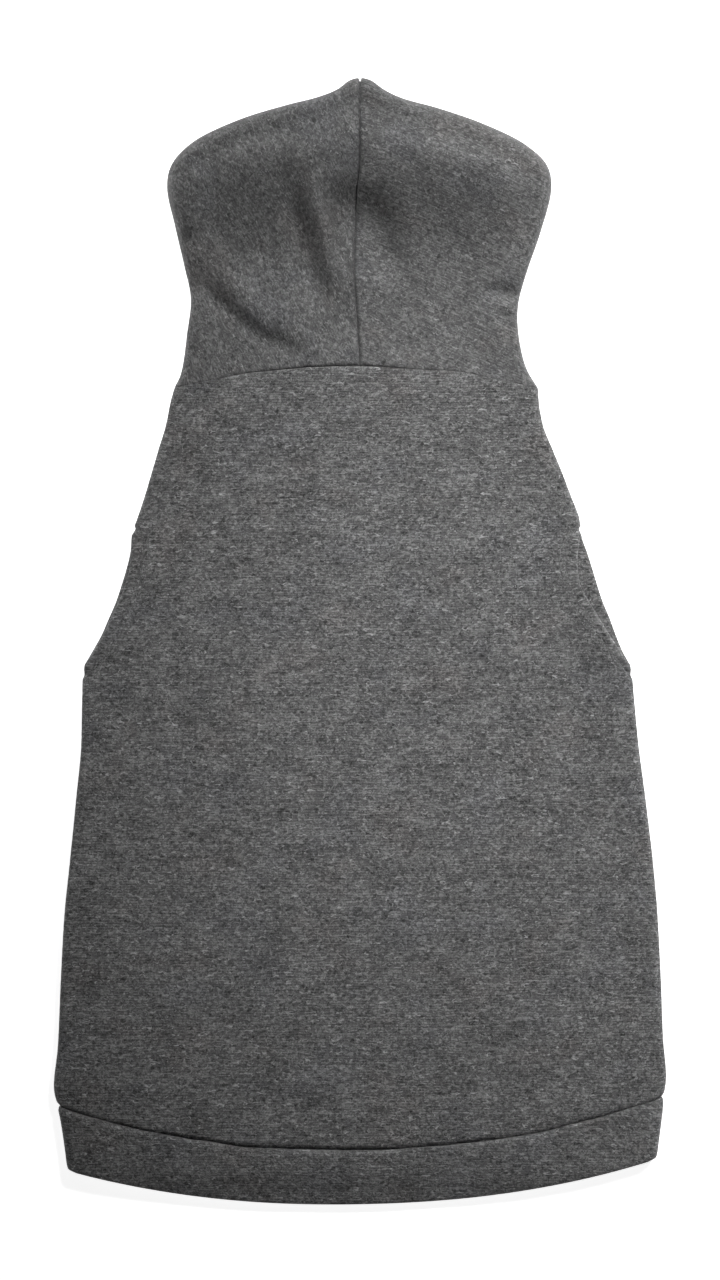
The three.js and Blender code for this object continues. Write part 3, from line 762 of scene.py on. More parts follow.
# ---- front and back panels ------------------------------------------------------------------------
@dataclass
class Panel:
    """The back panel (upper layer) or the front panel (lower layer)."""

    plan: BodyPlan
    layer: Layer
    name: str
    node: str
    across: int = 226  # even columns between the two edges
    down: int = 142  # even rows between the two seams
    edge_reach: float = 6.5  # the closer columns at each edge take up this much
    curl_degrees: tuple[float, ...] = (0, 2, 5, 10, 17, 27, 40, 56, 73, 90)
    after_curl: tuple[float, ...] = (3.3, 4.0, 5.0)
    neck_seam: Seam = NECK_SEAM
    hem_seam: Seam = HEM_SEAM
    side_seam: Seam = Seam(depth=0.6, radius=0.7, dimple=0.08, pucker=0.0, least=1.0)
    lower_waves: Waviness = Waviness(seed=23, height=0.18)
    still: float = 12.0  # the lower layer has no waves so close to its edges
    hem_end: float = 2.0  # a turned hem thins out over this length

    def curls(self) -> tuple[Array, Array, Array]:
        """Returns the edge columns' distances in, sewn and open, and how flat a sewn one lies."""
        angle = np.radians(self.curl_degrees)
        curl = self.plan.side_curl * (1 - np.cos(angle))
        sewn = np.concatenate([curl, self.after_curl])
        flat = np.concatenate([np.sin(angle), np.ones(len(self.after_curl))])
        rim = self.plan.hem / 2
        open_ = mix(rim, self.edge_reach, np.linspace(0, 1, len(sewn) + 1)[:-1])
        return sewn, open_, flat

    def columns(self, y: Array, sewn: bool) -> tuple[Array, Array, Array]:
        """Places the columns of every row.

        Args:
            y: The rows' places up the body.
            sewn: Whether to place them as along a side seam or as along an armhole.

        Returns:
            The columns' x, their distances from the nearer edge, and how flat each lies.
        """
        left, right = self.plan.edges(y, self.layer)
        closed, open_, flat = self.curls()
        inward = closed if sewn else open_
        share = np.linspace(0, 1, self.across)
        middle = mix((left + self.edge_reach)[:, None], (right - self.edge_reach)[:, None], share)
        x = np.hstack([left[:, None] + inward, middle, right[:, None] - inward[::-1]])
        from_edge = np.minimum(x - left[:, None], right[:, None] - x)
        flat = flat if sewn else np.ones_like(flat)
        flatness = np.concatenate([flat, np.ones(self.across), flat[::-1]])
        return x, from_edge, np.broadcast_to(flatness, x.shape)

    def plain(self, y: Array, sewn: bool) -> tuple[Array, Array, Array, Array]:
        """Builds the outer face as if its cloth didn't sink at the seams.

        Args:
            y: The rows' places up the body.
            sewn: Whether to build it as if every row were sewn, or as if every row were open.

        Returns:
            The grid, and its points' distances from the side edge, the neck seam and the hem seam.
        """
        plan = self.plan
        x, from_edge, flat = self.columns(y, sewn)
        left, right = (edge[:, None] for edge in plan.edges(y, self.layer))
        row = y[:, None]
        bent = plan.bowed(row, x, left, right, plan.bow(row, self.layer), plan.tilt(row))
        bent = bent + plan.stray(x, row)
        neck, hem = plan.neck_line(x, self.layer) - bent, bent - plan.hem_line(x, self.layer)
        if self.layer is Layer.UPPER:
            layer = plan.top(x, bent, from_edge, plan.settled(row))
        else:
            calm = (1 - bell(neck, self.still)) * (1 - bell(hem, self.still))
            calm = calm * (1 - bell(from_edge, self.still))
            layer = np.abs(self.lower_waves.lift(x, bent)) * calm
        return np.stack([x, bent, mix(plan.seam_z, layer, flat)], -1), from_edge, neck, hem

    def grids(self, y: Array, sewn: bool) -> tuple[Array, Array, Array]:
        """Builds both faces as if every row were sewn, or as if every row were open.

        Args:
            y: The rows' places up the body.
            sewn: Which of the two.

        Returns:
            The outer grid, the inner grid and the places on the cut.
        """
        plan = self.plan
        base, from_edge, neck, hem = self.plain(y, sewn)
        x, bent, z = np.moveaxis(base, 2, 0)
        normals = face_normals(base, self.layer.value)
        normals[0, :, 1] = normals[-1, :, 1] = 0.0
        if sewn:
            normals[:, 0, 2] = normals[:, -1, 2] = 0.0
        normals = unit(normals)
        sink = np.maximum(self.neck_seam.sink(neck, x), self.hem_seam.sink(hem, x))
        thickness = np.full(x.shape, plan.layer)
        if sewn:
            rise = np.abs(z - plan.seam_z) + from_edge
            sink = np.maximum(sink, self.side_seam.sink(rise, bent))
        else:
            turned = smooth((plan.hem_width - from_edge) / self.hem_end + 0.5)
            thickness = mix(plan.layer, plan.hem, turned)
        outer = base - normals * sink[..., None]
        inner = base - normals * thickness[..., None]
        inner[0, :, 1] = plan.neck_line(inner[0, :, 0], self.layer)
        inner[-1, :, 1] = plan.hem_line(inner[-1, :, 0], self.layer)
        lengths = np.linalg.norm(np.diff(base, axis=1), axis=2)
        arc = np.hstack([np.zeros((len(y), 1)), np.cumsum(lengths, axis=1)])
        middle = arc.shape[1] // 2
        cut = np.stack([arc - arc[:, middle : middle + 1], bent], -1)
        return outer, inner, cut

    def shell(self) -> Shell:
        """Returns the panel's shell, sewn and open rows joined into one."""
        plan = self.plan
        length = np.array([plan.neck_y - plan.hem_y])
        y = plan.neck_y - spread(length, SEAM_STEPS, SEAM_STEPS, self.down)[0]
        sewn_outer, sewn_inner, cut = self.grids(y, sewn=True)
        open_outer, open_inner, _ = self.grids(y, sewn=False)
        share = plan.sewn(y)[:, None, None]
        outer, inner = mix(open_outer, sewn_outer, share), mix(open_inner, sewn_inner, share)
        bulge = np.zeros_like(outer)
        bulge[:, 0, 0] = -plan.hem / 2 * (1 - share[:, 0, 0])
        bulge[:, -1, 0] = plan.hem / 2 * (1 - share[:, 0, 0])
        _, from_edge, _ = self.columns(y, sewn=False)
        turned = (from_edge < plan.hem_width) & (share[..., 0] < 0.5)
        facing = self.layer.value
        return Shell(self.name, outer, inner, bulge, cut, cut, facing, inner_face=turned)


# ---- hem band -------------------------------------------------------------------------------------
@dataclass
class HemBand:
    """The ring of doubled fleece below both panels, folded along its bottom edge."""

    plan: BodyPlan
    name: str = "fleece_hem_band"
    node: str = "hem_band"
    sections: tuple[Section, ...] = (
        Section(-165.2, -109.0, 109.3),
        Section(-169.6, -107.9, 109.0),
        Section(-175.4, -106.9, 108.3),
        Section(-181.6, -106.0, 107.5),
        Section(-186.6, -105.3, 106.8),
        Section(-188.2, -104.4, 106.0),
    )
    top: float = 6.4
    droop: float = 2.4
    droop_starts: float = -190.0
    droop_length: float = 12.0
    bottom_bow: float = -14.1
    bottom_tilt: float = 4.2
    across: int = 232
    down: int = 15
    fold_spans: int = 16
    last_steps: tuple[float, ...] = (0.0, 0.5, 1.2, 2.2)
    lowest_back: float = -0.6  # the fold follows the back seam line down to this angle
    seam_calm: float = 0.25  # no waves beside the seam; the share of the band where they begin
    fold_calm: float = 12.0  # nor so close to a fold
    seam: Seam = HEM_SEAM
    waves: Waviness = Waviness(seed=31, height=0.14, shortest=9.0)

    def columns(self) -> tuple[Array, Array, Array, Array]:
        """Lists the ring's columns: upper layer, right fold, lower layer, left fold.

        Returns:
            Each column's share of the way across, its side (0 off the folds), its angle on the fold,
            and whether it follows the back seam line.
        """
        share = np.linspace(0, 1, self.across, endpoint=False)
        turn = np.linspace(0, math.pi, self.fold_spans, endpoint=False)
        flat, fold, top = np.zeros(self.across), np.ones(self.fold_spans), math.pi / 2
        across = np.concatenate([share, fold, 1 - share, 0 * fold])
        side = np.concatenate([flat, fold, flat, -fold])
        angle = np.concatenate([flat + top, top - turn, flat - top, turn - top])
        return across, side, angle, angle > self.lowest_back

    def plain(self) -> tuple[Array, Array]:
        """Builds the outer face as if its cloth didn't sink at the seam.

        Returns:
            The grid, and how wide the seam's gap is at each of its points.
        """
        plan, roll = self.plan, self.top / 2
        rows = [section.y for section in self.sections]
        length = np.array([rows[0] - rows[-1] - plan.hem / 2])
        y = rows[0] - spread(length, SEAM_STEPS, self.last_steps, self.down)[0]
        left = through(y, rows, [section.left for section in self.sections])[:, None] + roll
        right = through(y, rows, [section.right for section in self.sections])[:, None] - roll
        across, side, angle, back = self.columns()
        share = (rows[0] - y)[:, None] / (rows[0] - rows[-1])
        x = mix(left, right, across) + side * roll * np.cos(angle)
        bow = np.where(back, mix(plan.hem_bow, self.bottom_bow, share), 0.0)
        tilt = mix(plan.hem_tilt, self.bottom_tilt, share)
        bent = plan.bowed(y[:, None], x, left - roll, right + roll, bow, tilt)
        gap = self.seam.gap(x)
        bent = bent + plan.stray(x, y[:, None]) - gap * (1 - share)
        off_folds = side == 0
        calm = smooth(share / self.seam_calm) * off_folds
        calm = calm * (1 - bell(np.minimum(x - left, right - x), self.fold_calm))
        uneven = self.waves.lift(x, bent) * calm
        sunk = self.droop * smooth((self.droop_starts - bent) / self.droop_length) * off_folds
        upper = roll * (1 + np.sin(angle)) - sunk + uneven
        z = np.where(off_folds & (angle < 0), np.abs(uneven), upper)
        return np.stack([x, bent, z], -1), gap

    def cuts(self, base: Array) -> tuple[Array, Array]:
        """Lays the band out flat.

        Args:
            base: The plain outer grid.

        Returns:
            The cut's places, seen from the next column and from the one before.
        """
        closed = np.concatenate([base, base[:, :1]], axis=1)
        arc = np.cumsum(np.linalg.norm(np.diff(closed, axis=1), axis=2), axis=1)
        start = np.hstack([np.zeros((len(base), 1)), arc[:, :-1]])
        before = np.hstack([arc[:, -1:], arc[:, :-1]])
        return np.stack([start, base[..., 1]], -1), np.stack([before, base[..., 1]], -1)

    def shell(self) -> Shell:
        """Returns the band's shell."""
        plan = self.plan
        base, gap = self.plain()
        *_, back = self.columns()
        x, y, _ = np.moveaxis(base, 2, 0)
        normals = face_normals(base, 1, ring=True)
        normals[0, :, 1] = normals[-1, :, 1] = 0.0
        normals = unit(normals)
        from_seam = np.clip(plan.hem_round(x, back) - gap - y, 0, None)
        outer = base - normals * self.seam.sink(from_seam, x)[..., None]
        inner = base - normals * plan.hem
        inner[0, :, 1] = plan.hem_round(inner[0, :, 0], back)
        bulge = np.zeros_like(outer)
        bulge[-1, :, 1] = -plan.hem / 2
        cut, cut_before = self.cuts(base)
        everywhere = np.ones(x.shape, dtype=bool)
        return Shell(self.name, outer, inner, bulge, cut, cut_before, 1, True, everywhere)


# ---- hood halves ----------------------------------------------------------------------------------
@dataclass(frozen=True)
class Roll:
    """The roll of the hood's outline at a share of its length: its reach in, and half its height."""

    along: float
    reach: float
    half: float


@dataclass(frozen=True)
class HoodRows:
    """Where the hood half's rows run in plan, a value for each row.

    Attributes:
        along: The row's share of the outline, from the neck seam to the tip.
        start: Its start on the centre seam.
        roll_start: Where its roll starts.
        outward: Its direction across the roll.
        reach: The roll's reach.
        half: Half the roll's height.
        end: Its end on the lower layer.
        free: 1 where it ends on the free face edge, fading to 0 at that edge's tips.
    """

    along: Array
    start: Array
    roll_start: Array
    outward: Array
    reach: Array
    half: Array
    end: Array
    free: Array


@dataclass
class HoodHalf:
    """Half of the hood: from the centre seam over the back, round the side, to the face edge."""

    plan: BodyPlan
    side: Side
    name: str
    node: str
    grain_degrees: float  # how far the cloth's courses are turned on this half
    outlines: dict[Side, tuple[tuple[float, float], ...]] = field(
        default_factory=lambda: {
            Side.LEFT: (
                (-66.9, 90.7), (-64.4, 96), (-62.1, 111), (-60.8, 123), (-63.2, 135), (-66.4, 149),
                (-69.2, 162.5), (-67.8, 170.5), (-60.4, 178.6), (-44.3, 186.6), (-26.5, 192.2),
                (-15.0, 195.2), (-8.2, 198), (-3.9, 201.2), (0, 202.4),
            ),
            Side.RIGHT: (
                (64.1, 90.7), (59.7, 98.3), (56.9, 111), (56.9, 121), (60.1, 133), (64.6, 146),
                (68.7, 162.5), (67.2, 170.5), (59.4, 178), (44.9, 185.2), (28.4, 191),
                (15.0, 194.8), (8.8, 197.8), (4.1, 201.2), (0, 202.4),
            ),
        }
    )
    face_edge: tuple[tuple[float, float], ...] = (
        (0, 84.4), (9, 92), (20, 103), (28.5, 118), (31, 134), (26.5, 150), (14.5, 161), (0, 165),
    )
    face_top_at: float = 0.74  # the share of the outline whose rows end on the face edge
    under_seam_top: float = 186.0  # where the last row ends on the lower layer
    seam_top: float = 178.0  # where it starts on the upper layer
    even_from: float = 164.0  # above here the centre seam runs straight, its gap even, to the tip
    straight_from: float = 176.0  # above here the centre seam strays no more
    straightens: float = 16.0  # over this length below that
    seam_stray: float = -2.1
    stray_middle: float = 138.0
    stray_width: float = 26.0
    rolls: tuple[Roll, ...] = (
        Roll(0, 2.8, 2.95),
        Roll(0.22, 3.4, 4.4),
        Roll(0.48, 4.4, 7.4),
        Roll(0.75, 5.2, 8.2),
        Roll(1, 5.2, 6.9),
    )
    heights: tuple[tuple[float, float], ...] = (
        (90.7, 5.8), (100, 6.1), (110, 6.9), (120, 8.3), (130, 10.2), (142, 13.0), (154, 16.2),
        (166, 19.4), (176, 20.6), (188, 19.3), (204, 15.2),
    )
    folds: tuple[Fold | Hollow, ...] = (
        Hollow("hollow at the centre seam", (1, 150), 14, 19, 21, 34, -4.6),
        Hollow("pocket left of the seam", (-7, 156), 7, 8, 9, 17, -3.2),
        Hollow("left hollow", (-37, 141), 14, 15, 20, 14, -4.6),
        Hollow("right hollow", (33, 140), 18, 20, 23, 26, -3.8),
        Fold(
            "ridge left of the seam",
            ((-20, 168), (-16.5, 155), (-12.5, 142), (-8, 120)), 4.8, 4.6, 0.35,
        ),
        Fold(
            "trough beside that ridge",
            ((-28, 176), (-22, 157), (-18.5, 142), (-13.5, 112)), 5.0, -6.2, 0.4,
        ),
        Fold("right fold by the seam", ((3, 166), (5, 153), (8, 139), (12, 123)), 7.0, -4.4, 0.42),
        Fold(
            "ridge above the left crease",
            ((-80, 156), (-50, 130.5), (-42.5, 123), (-31, 113.5), (-12, 102)), 5.4, 3.0, 0.42,
        ),
        Hollow("swell above that ridge", (-50, 138), 12, 16, 14, 10, 1.2),
    )
    creases: tuple[Fold, ...] = (
        Fold(
            "crease from the left neck",
            ((-82, 149), (-54, 124), (-46.5, 117.5), (-36, 109), (-13, 97)), 3.8, -1.9, 0.42,
        ),
        Fold("low pucker at the right neck", ((40, 126.5), (68, 121.5)), 2.6, -1.8, 0.4),
        Fold("lower pucker there", ((47, 117.5), (66, 116)), 1.8, -1.1, 0.35),
        Fold("hollow by the left side", ((-69, 150), (-63.5, 137)), 2.2, -0.8),
        Fold("ridge along the left side", ((-66, 170), (-65, 156), (-60.5, 142)), 5.2, 2.2, 0.3),
    )
    neck_ease: float = 0.16  # shares of the outline over which its ends take their own form
    tip_ease: float = 0.08
    roll_ease: float = 9.0  # the layer's height gives way to the roll's over this distance
    neck_calm: float = 14.0  # the upper layer has no waves beside the neck; over this distance
    still: float = 9.0  # the lower layer has no waves so close to its edges
    lower_calm: float = 0.125  # nor on its first rows, over this share of the outline
    corner: float = 1.2  # the size of the tip's corner, where the seam runs straight on
    hem_end: float = 2.0  # the turned hem thins out over this length
    hem_taper: float = 24.0  # how fast the free edge's turned hem thins out at its tips
    hem_onset: float = 3.0  # how soon it is whole beside them
    opening_ease: float = 3.0  # the centre seam fades out over this length at the opening
    lowest_back: float = -0.6  # the roll follows the back neck line down to this angle
    rows: int = 104
    upper_columns: int = 58
    roll_spans: int = 22
    lower_columns: int = 26
    edge_steps: tuple[float, ...] = (0.0, 0.8, 1.8, 3.0)
    seam: Seam = CENTRE_SEAM
    neck_seam: Seam = NECK_SEAM
    waves: Waviness = Waviness(seed=41, height=0.3)
    lower_waves: Waviness = Waviness(seed=43, height=0.3)

    def seam_x(self, y: Array) -> Array:
        """Returns the x of the centre seam, which strays to the left half way up the hood."""
        wander = self.plan.wander.lift(y, np.zeros_like(y))
        stray = self.seam_stray * bell(y - self.stray_middle, self.stray_width)
        return (stray + wander) * smooth((self.straight_from - y) / self.straightens)

    def beside(self, y: Array) -> Array:
        """Returns how far this half's outer face lies from the middle of the centre seam."""
        return self.side.value * self.seam.gap(np.minimum(y, self.even_from)) / 2

    def table(self, along: Array) -> tuple[Array, Array]:
        """Returns the roll's reach and half height at shares of the outline."""
        places = [roll.along for roll in self.rolls]
        reach = through(along, places, [roll.reach for roll in self.rolls])
        return reach, through(along, places, [roll.half for roll in self.rolls])

    def field(self, x: Array, y: Array) -> Array:
        """Returns the height of the upper layer, away from its roll."""
        places, tops = zip(*self.heights)
        calm = smooth((y - self.plan.neck_line(x)) / self.neck_calm)
        waves = self.waves.lift(x, y) * calm
        return through(y, places, tops) + lift_of(self.folds, x, y) + waves

    def row_ends(self, along: Array) -> tuple[Array, Array]:
        """Finds where the rows end on the lower layer.

        Args:
            along: The rows' shares of the outline.

        Returns:
            The ends in plan, and 1 where a row ends on the free face edge, fading to 0 at its tips.
        """
        side = self.side.value
        curve = Curve(list(self.face_edge))
        share = along / self.face_top_at
        on_face = curve.at(share)
        on_face[:, 0] = side * np.maximum(on_face[:, 0], side * self.beside(on_face[:, 1]))
        above = np.clip((along - self.face_top_at) / (1 - self.face_top_at), 0, 1)
        on_seam_y = mix(self.face_edge[-1][1], self.under_seam_top, above)
        on_seam = np.stack([self.beside(on_seam_y), on_seam_y], -1)
        tapered = smooth(share * self.hem_taper) * smooth((1 - share) * self.hem_taper)
        free = np.where(share < 1, tapered, 0.0)
        return np.where((share < 1)[:, None], on_face, on_seam), free

    def neck_row(self, upper_share: Array, angle: Array, lower_share: Array) -> Array:
        """Builds the first row, which follows the neck seam round the front and back panels.

        Args:
            upper_share: The upper columns' shares of the way to the roll.
            angle: The roll's angles.
            lower_share: The lower columns' shares of the way to the face edge.

        Returns:
            The row's points.
        """
        plan, side = self.plan, self.side.value
        neck = plan.sections[0]
        edge = neck.right if self.side is Side.RIGHT else neck.left
        roll_x = edge - side * plan.side_curl
        start_y = plan.neck_line(np.zeros(1))
        beside = self.beside(start_y)
        start = self.seam_x(start_y) + beside
        upper_x = mix(start, roll_x, upper_share)
        upper_y = plan.neck_line(upper_x)
        upper_z = plan.top(upper_x, upper_y, np.abs(edge - upper_x), 1.0)
        roll = roll_x + side * plan.side_curl * np.cos(angle)
        roll_y = plan.neck_round(roll, angle > self.lowest_back)
        lower_x = mix(roll_x, beside, lower_share)
        lower_y = plan.neck_line(lower_x, Layer.LOWER)
        x = np.concatenate([upper_x, roll, lower_x])
        y = np.concatenate([upper_y, roll_y, lower_y]) + self.neck_seam.gap(x)
        z = np.concatenate([upper_z, plan.seam_z * (1 + np.sin(angle)), np.zeros(len(lower_x))])
        return np.stack([x, y, z], -1)

    def rows_in_plan(self) -> HoodRows:
        """Works out where the rows run.

        Returns:
            Their places, in plan.
        """
        plan, side = self.plan, self.side.value
        tip_x, tip_y = self.outlines[self.side][-1]
        tip_x += float(self.beside(np.asarray(tip_y)))
        outline = Curve([*self.outlines[self.side][:-1], (tip_x, tip_y)])
        spaced = spread(np.array([outline.length]), SEAM_STEPS, SEAM_STEPS, self.rows)[0]
        along = spaced / outline.length
        start_y = mix(plan.neck_line(np.asarray(0.0)), self.seam_top, along)
        start = np.stack([self.seam_x(start_y) + self.beside(start_y), start_y], -1)
        tangent = outline.direction(along)
        outward = side * np.stack([tangent[:, 1], -tangent[:, 0]], -1)
        at_tip = smooth((along - 1 + self.tip_ease) / self.tip_ease)[:, None]
        outward = unit(mix(outward, np.array([0.0, 1.0]), at_tip))
        reach, half = self.table(along)
        roll_start = outline.at(along) - outward * reach[:, None]
        end, free = self.row_ends(along)
        return HoodRows(along, start, roll_start, outward, reach, half, end, free)

    def upper_layer(self, rows: HoodRows) -> tuple[Array, Array]:
        """Builds the upper layer, from the centre seam to the roll.

        Args:
            rows: Where the rows run.

        Returns:
            Its points, and their shares of the way to the roll.
        """
        run = rows.roll_start - rows.start
        width = np.linalg.norm(run, axis=1)
        share = spread(width, SEAM_STEPS, (0.0,), self.upper_columns)[:, :-1] / width[:, None]
        upper = rows.start[:, None] + run[:, None] * share[..., None]
        x, y = upper[..., 0], upper[..., 1]
        to_roll = np.linalg.norm(upper - rows.roll_start[:, None], axis=2)
        top = mix(self.field(x, y), 2 * rows.half[:, None], bell(to_roll, self.roll_ease))
        return np.dstack([upper, top + lift_of(self.creases, x, y)]), share

    def roll(self, rows: HoodRows, angle: Array) -> Array:
        """Builds the roll, from its top to its underside.

        Args:
            rows: Where the rows run.
            angle: The points' angles on the roll.

        Returns:
            Its points.
        """
        out = rows.outward[:, None] * (rows.reach[:, None] * np.cos(angle))[..., None]
        rolled = rows.roll_start[:, None] + out
        turn = (1 + np.sin(angle)) / 2
        creases = lift_of(self.creases, rolled[..., 0], rolled[..., 1])
        return np.dstack([rolled, (2 * rows.half[:, None] + creases) * turn])

    def lower_layer(self, rows: HoodRows) -> tuple[Array, Array, Array, Array]:
        """Builds the lower layer, from the roll to the face edge or to the centre seam above it.

        Args:
            rows: Where the rows run.

        Returns:
            Its points, their shares of the way, their distances from the end, and the rim's bulge
            at the end of each row, in plan.
        """
        back = rows.end - rows.roll_start
        width = np.linalg.norm(back, axis=1)
        inset = self.plan.hem / 2 * rows.free
        steps = spread(width - inset, (0.0,), self.edge_steps, self.lower_columns)[:, 1:]
        share = steps / width[:, None]
        lower = rows.roll_start[:, None] + back[:, None] * share[..., None]
        from_end = width[:, None] - steps
        calm = (1 - bell(from_end, self.still)) * (1 - bell(steps, self.still))
        calm = calm * smooth(rows.along / self.lower_calm)[:, None]
        lifted = np.abs(self.lower_waves.lift(lower[..., 0], lower[..., 1])) * calm
        return np.dstack([lower, lifted]), share, from_end, unit(back) * inset[:, None]

    def normals(self, base: Array, rows: HoodRows, uppers: int) -> Array:
        """Finds the outward normals of the plain outer grid.

        Args:
            base: That grid.
            rows: Where its rows run.
            uppers: How many of its columns lie before the roll.

        Returns:
            The unit normals, level across each seam.
        """
        normals = face_normals(base, -self.side.value)
        normals[0, :, 1] = 0.0
        normals[:, 0, 0] = normals[-1, :, 0] = 0.0
        normals[rows.along >= self.face_top_at, -1, 0] = 0.0
        # The seam runs straight through the grid's corner, so the normals there are borrowed.
        from_corner = base[..., :2] - rows.start[-1]
        corner = bell(np.hypot(from_corner[..., 0], from_corner[..., 1]), self.corner)
        corner[:, uppers:] = 0.0
        return unit(mix(normals, normals[-1, len(SEAM_STEPS) - 2], corner[..., None]))

    def sink(self, base: Array, rolls: int, on_upper: Array) -> Array:
        """Measures how far the outer face sinks at the seams.

        Args:
            base: The plain outer grid.
            rolls: How many of its columns lie before the lower layer.
            on_upper: True for the columns that follow the back neck line.

        Returns:
            The depth at each point.
        """
        x, y, _ = np.moveaxis(base, 2, 0)
        seam_at = self.seam_x(y)
        seam_at[:, rolls:] = 0.0
        from_seam = np.abs(x - seam_at)
        beyond = 1 - smooth((y[:, rolls:] - self.face_edge[-1][1]) / self.opening_ease)
        from_seam[:, rolls:] += FAR * beyond  # no seam runs along the face opening
        line = self.plan.neck_round(x, on_upper)
        from_neck = np.clip(y - self.neck_seam.gap(x) - line, 0, None)
        return np.maximum(self.seam.sink(from_seam, y), self.neck_seam.sink(from_neck, x))

    def shell(self) -> Shell:
        """Returns the half's shell."""
        plan, side, rows = self.plan, self.side.value, self.rows_in_plan()
        angle = np.linspace(math.pi / 2, -math.pi / 2, self.roll_spans + 1)
        upper, upper_share = self.upper_layer(rows)
        lower, lower_share, from_end, end_bulge = self.lower_layer(rows)
        uppers = upper.shape[1]
        rolls = uppers + len(angle)
        base = np.concatenate([upper, self.roll(rows, angle), lower], axis=1)
        on_upper = np.arange(base.shape[1]) < uppers + np.count_nonzero(angle > self.lowest_back)
        ease = (1 - smooth(rows.along / self.neck_ease))[:, None, None]
        base = base + (self.neck_row(upper_share[0], angle, lower_share[0]) - base[0]) * ease
        normals = self.normals(base, rows, uppers)
        turned = np.zeros(base.shape[:2])
        hem = smooth((plan.hem_width - from_end) / self.hem_end + 0.5)
        turned[:, rolls:] = hem * smooth(rows.free * self.hem_onset)[:, None]
        outer = base - normals * self.sink(base, rolls, on_upper)[..., None]
        inner = base - normals * mix(plan.layer, plan.hem, turned)[..., None]
        # The inner face ends on the seam lines, where the two pieces meet.
        inner[0, :, 1] = plan.neck_round(inner[0, :, 0], on_upper)
        inner[:, 0, 0] = self.seam_x(inner[:, 0, 1])
        inner[rows.along >= self.face_top_at, -1, 0] = inner[-1, :, 0] = 0.0
        bulge = np.zeros_like(outer)
        bulge[:, -1, :2] = end_bulge
        cut, cut_before = self.cuts(base, uppers, rolls, rows)
        return Shell(self.name, outer, inner, bulge, cut, cut_before, -side, inner_face=turned > 0.5)

    def cuts(self, base: Array, uppers: int, rolls: int, rows: HoodRows) -> tuple[Array, Array]:
        """Lays the half out flat, turned to the grain of its cut.

        Args:
            base: The plain outer grid.
            uppers: How many of its columns lie before the roll.
            rolls: How many of them lie before the lower layer.
            rows: Where its rows run.

        Returns:
            The cut's places, seen from the next column and from the one before.
        """
        cut = base[..., :2].copy()
        steps = np.linalg.norm(np.diff(base[:, uppers:rolls], axis=1), axis=2)
        arc = np.hstack([np.zeros((len(base), 1)), np.cumsum(steps, axis=1)])
        cut[:, uppers:rolls] = rows.roll_start[:, None] + rows.outward[:, None] * arc[..., None]
        before = cut.copy()
        cut[:, rolls - 1] = base[:, rolls - 1, :2]
        turn = math.radians(self.grain_degrees)
        spin = np.array([[math.cos(turn), math.sin(turn)], [-math.sin(turn), math.cos(turn)]])
        return cut @ spin.T, before @ spin.T


# ---- finishes -------------------------------------------------------------------------------------
def colour(text: str) -> tuple[float, float, float, float]:
    """Returns a linear colour from sRGB hex digits."""
    values = [int(text[k : k + 2], 16) / 255 for k in (0, 2, 4)]
    linear = [v / 12.92 if v <= 0.04045 else ((v + 0.055) / 1.055) ** 2.4 for v in values]
    return (*linear, 1.0)


def add_node(tree: Tree, kind: str, settings: dict, links: dict) -> bpy.types.Node:
    """Adds a node with its settings and links.

    Args:
        tree: The node tree that it goes into.
        kind: The node's type.
        settings: Values of its properties, or of its inputs where the key names one of those.
        links: The output that feeds each input, by the input's name or number.

    Returns:
        The node.
    """
    node = tree.nodes.new(kind)
    for key, value in settings.items():
        if isinstance(key, str) and hasattr(node, key):
            setattr(node, key, value)
        else:
            node.inputs[key].default_value = value
    for key, output in links.items():
        tree.links.new(output, node.inputs[key])
    return node


def add_ramp(tree: Tree, value: Socket, stops: tuple[tuple[float, str], ...]) -> Socket:
    """Adds a colour ramp.

    Args:
        tree: The node tree that it goes into.
        value: What the ramp is read at.
        stops: Each stop's place and its colour in sRGB hex, in order.

    Returns:
        The ramp's colour.
    """
    node = add_node(tree, "ShaderNodeValToRGB", {}, {"Fac": value})
    elements = node.color_ramp.elements
    for element, (place, tint) in zip((elements[0], elements[1]), (stops[0], stops[-1])):
        element.position, element.color = place, colour(tint)
    for place, tint in stops[1:-1]:
        elements.new(place).color = colour(tint)
    return node.outputs["Color"]


def new_material(name: str) -> tuple[bpy.types.Material, Tree]:
    """Returns an empty node material and its tree."""
    material = bpy.data.materials.new(name)
    material.use_nodes = True
    material.node_tree.nodes.clear()
    return material, material.node_tree


def shade(tree: Tree, settings: dict, links: dict) -> None:
    """Adds a Principled shader with its settings and links, and sends it to the surface."""
    shader = add_node(tree, "ShaderNodeBsdfPrincipled", settings, links)
    add_node(tree, "ShaderNodeOutputMaterial", {}, {"Surface": shader.outputs["BSDF"]})


def add_bump(tree: Tree, height: Socket, strength: float, distance: float) -> Socket:
    """Returns the normal of a surface with a small relief, distance millimetres deep."""
    settings = {"Strength": strength, "Distance": distance * MM}
    return add_node(tree, "ShaderNodeBump", settings, {"Height": height}).outputs["Normal"]


def cut_place(tree: Tree) -> Socket:
    """Returns each point's place on the flat cut."""
    return add_node(tree, "ShaderNodeUVMap", {"uv_map": CUT_MAP}, {}).outputs["UV"]


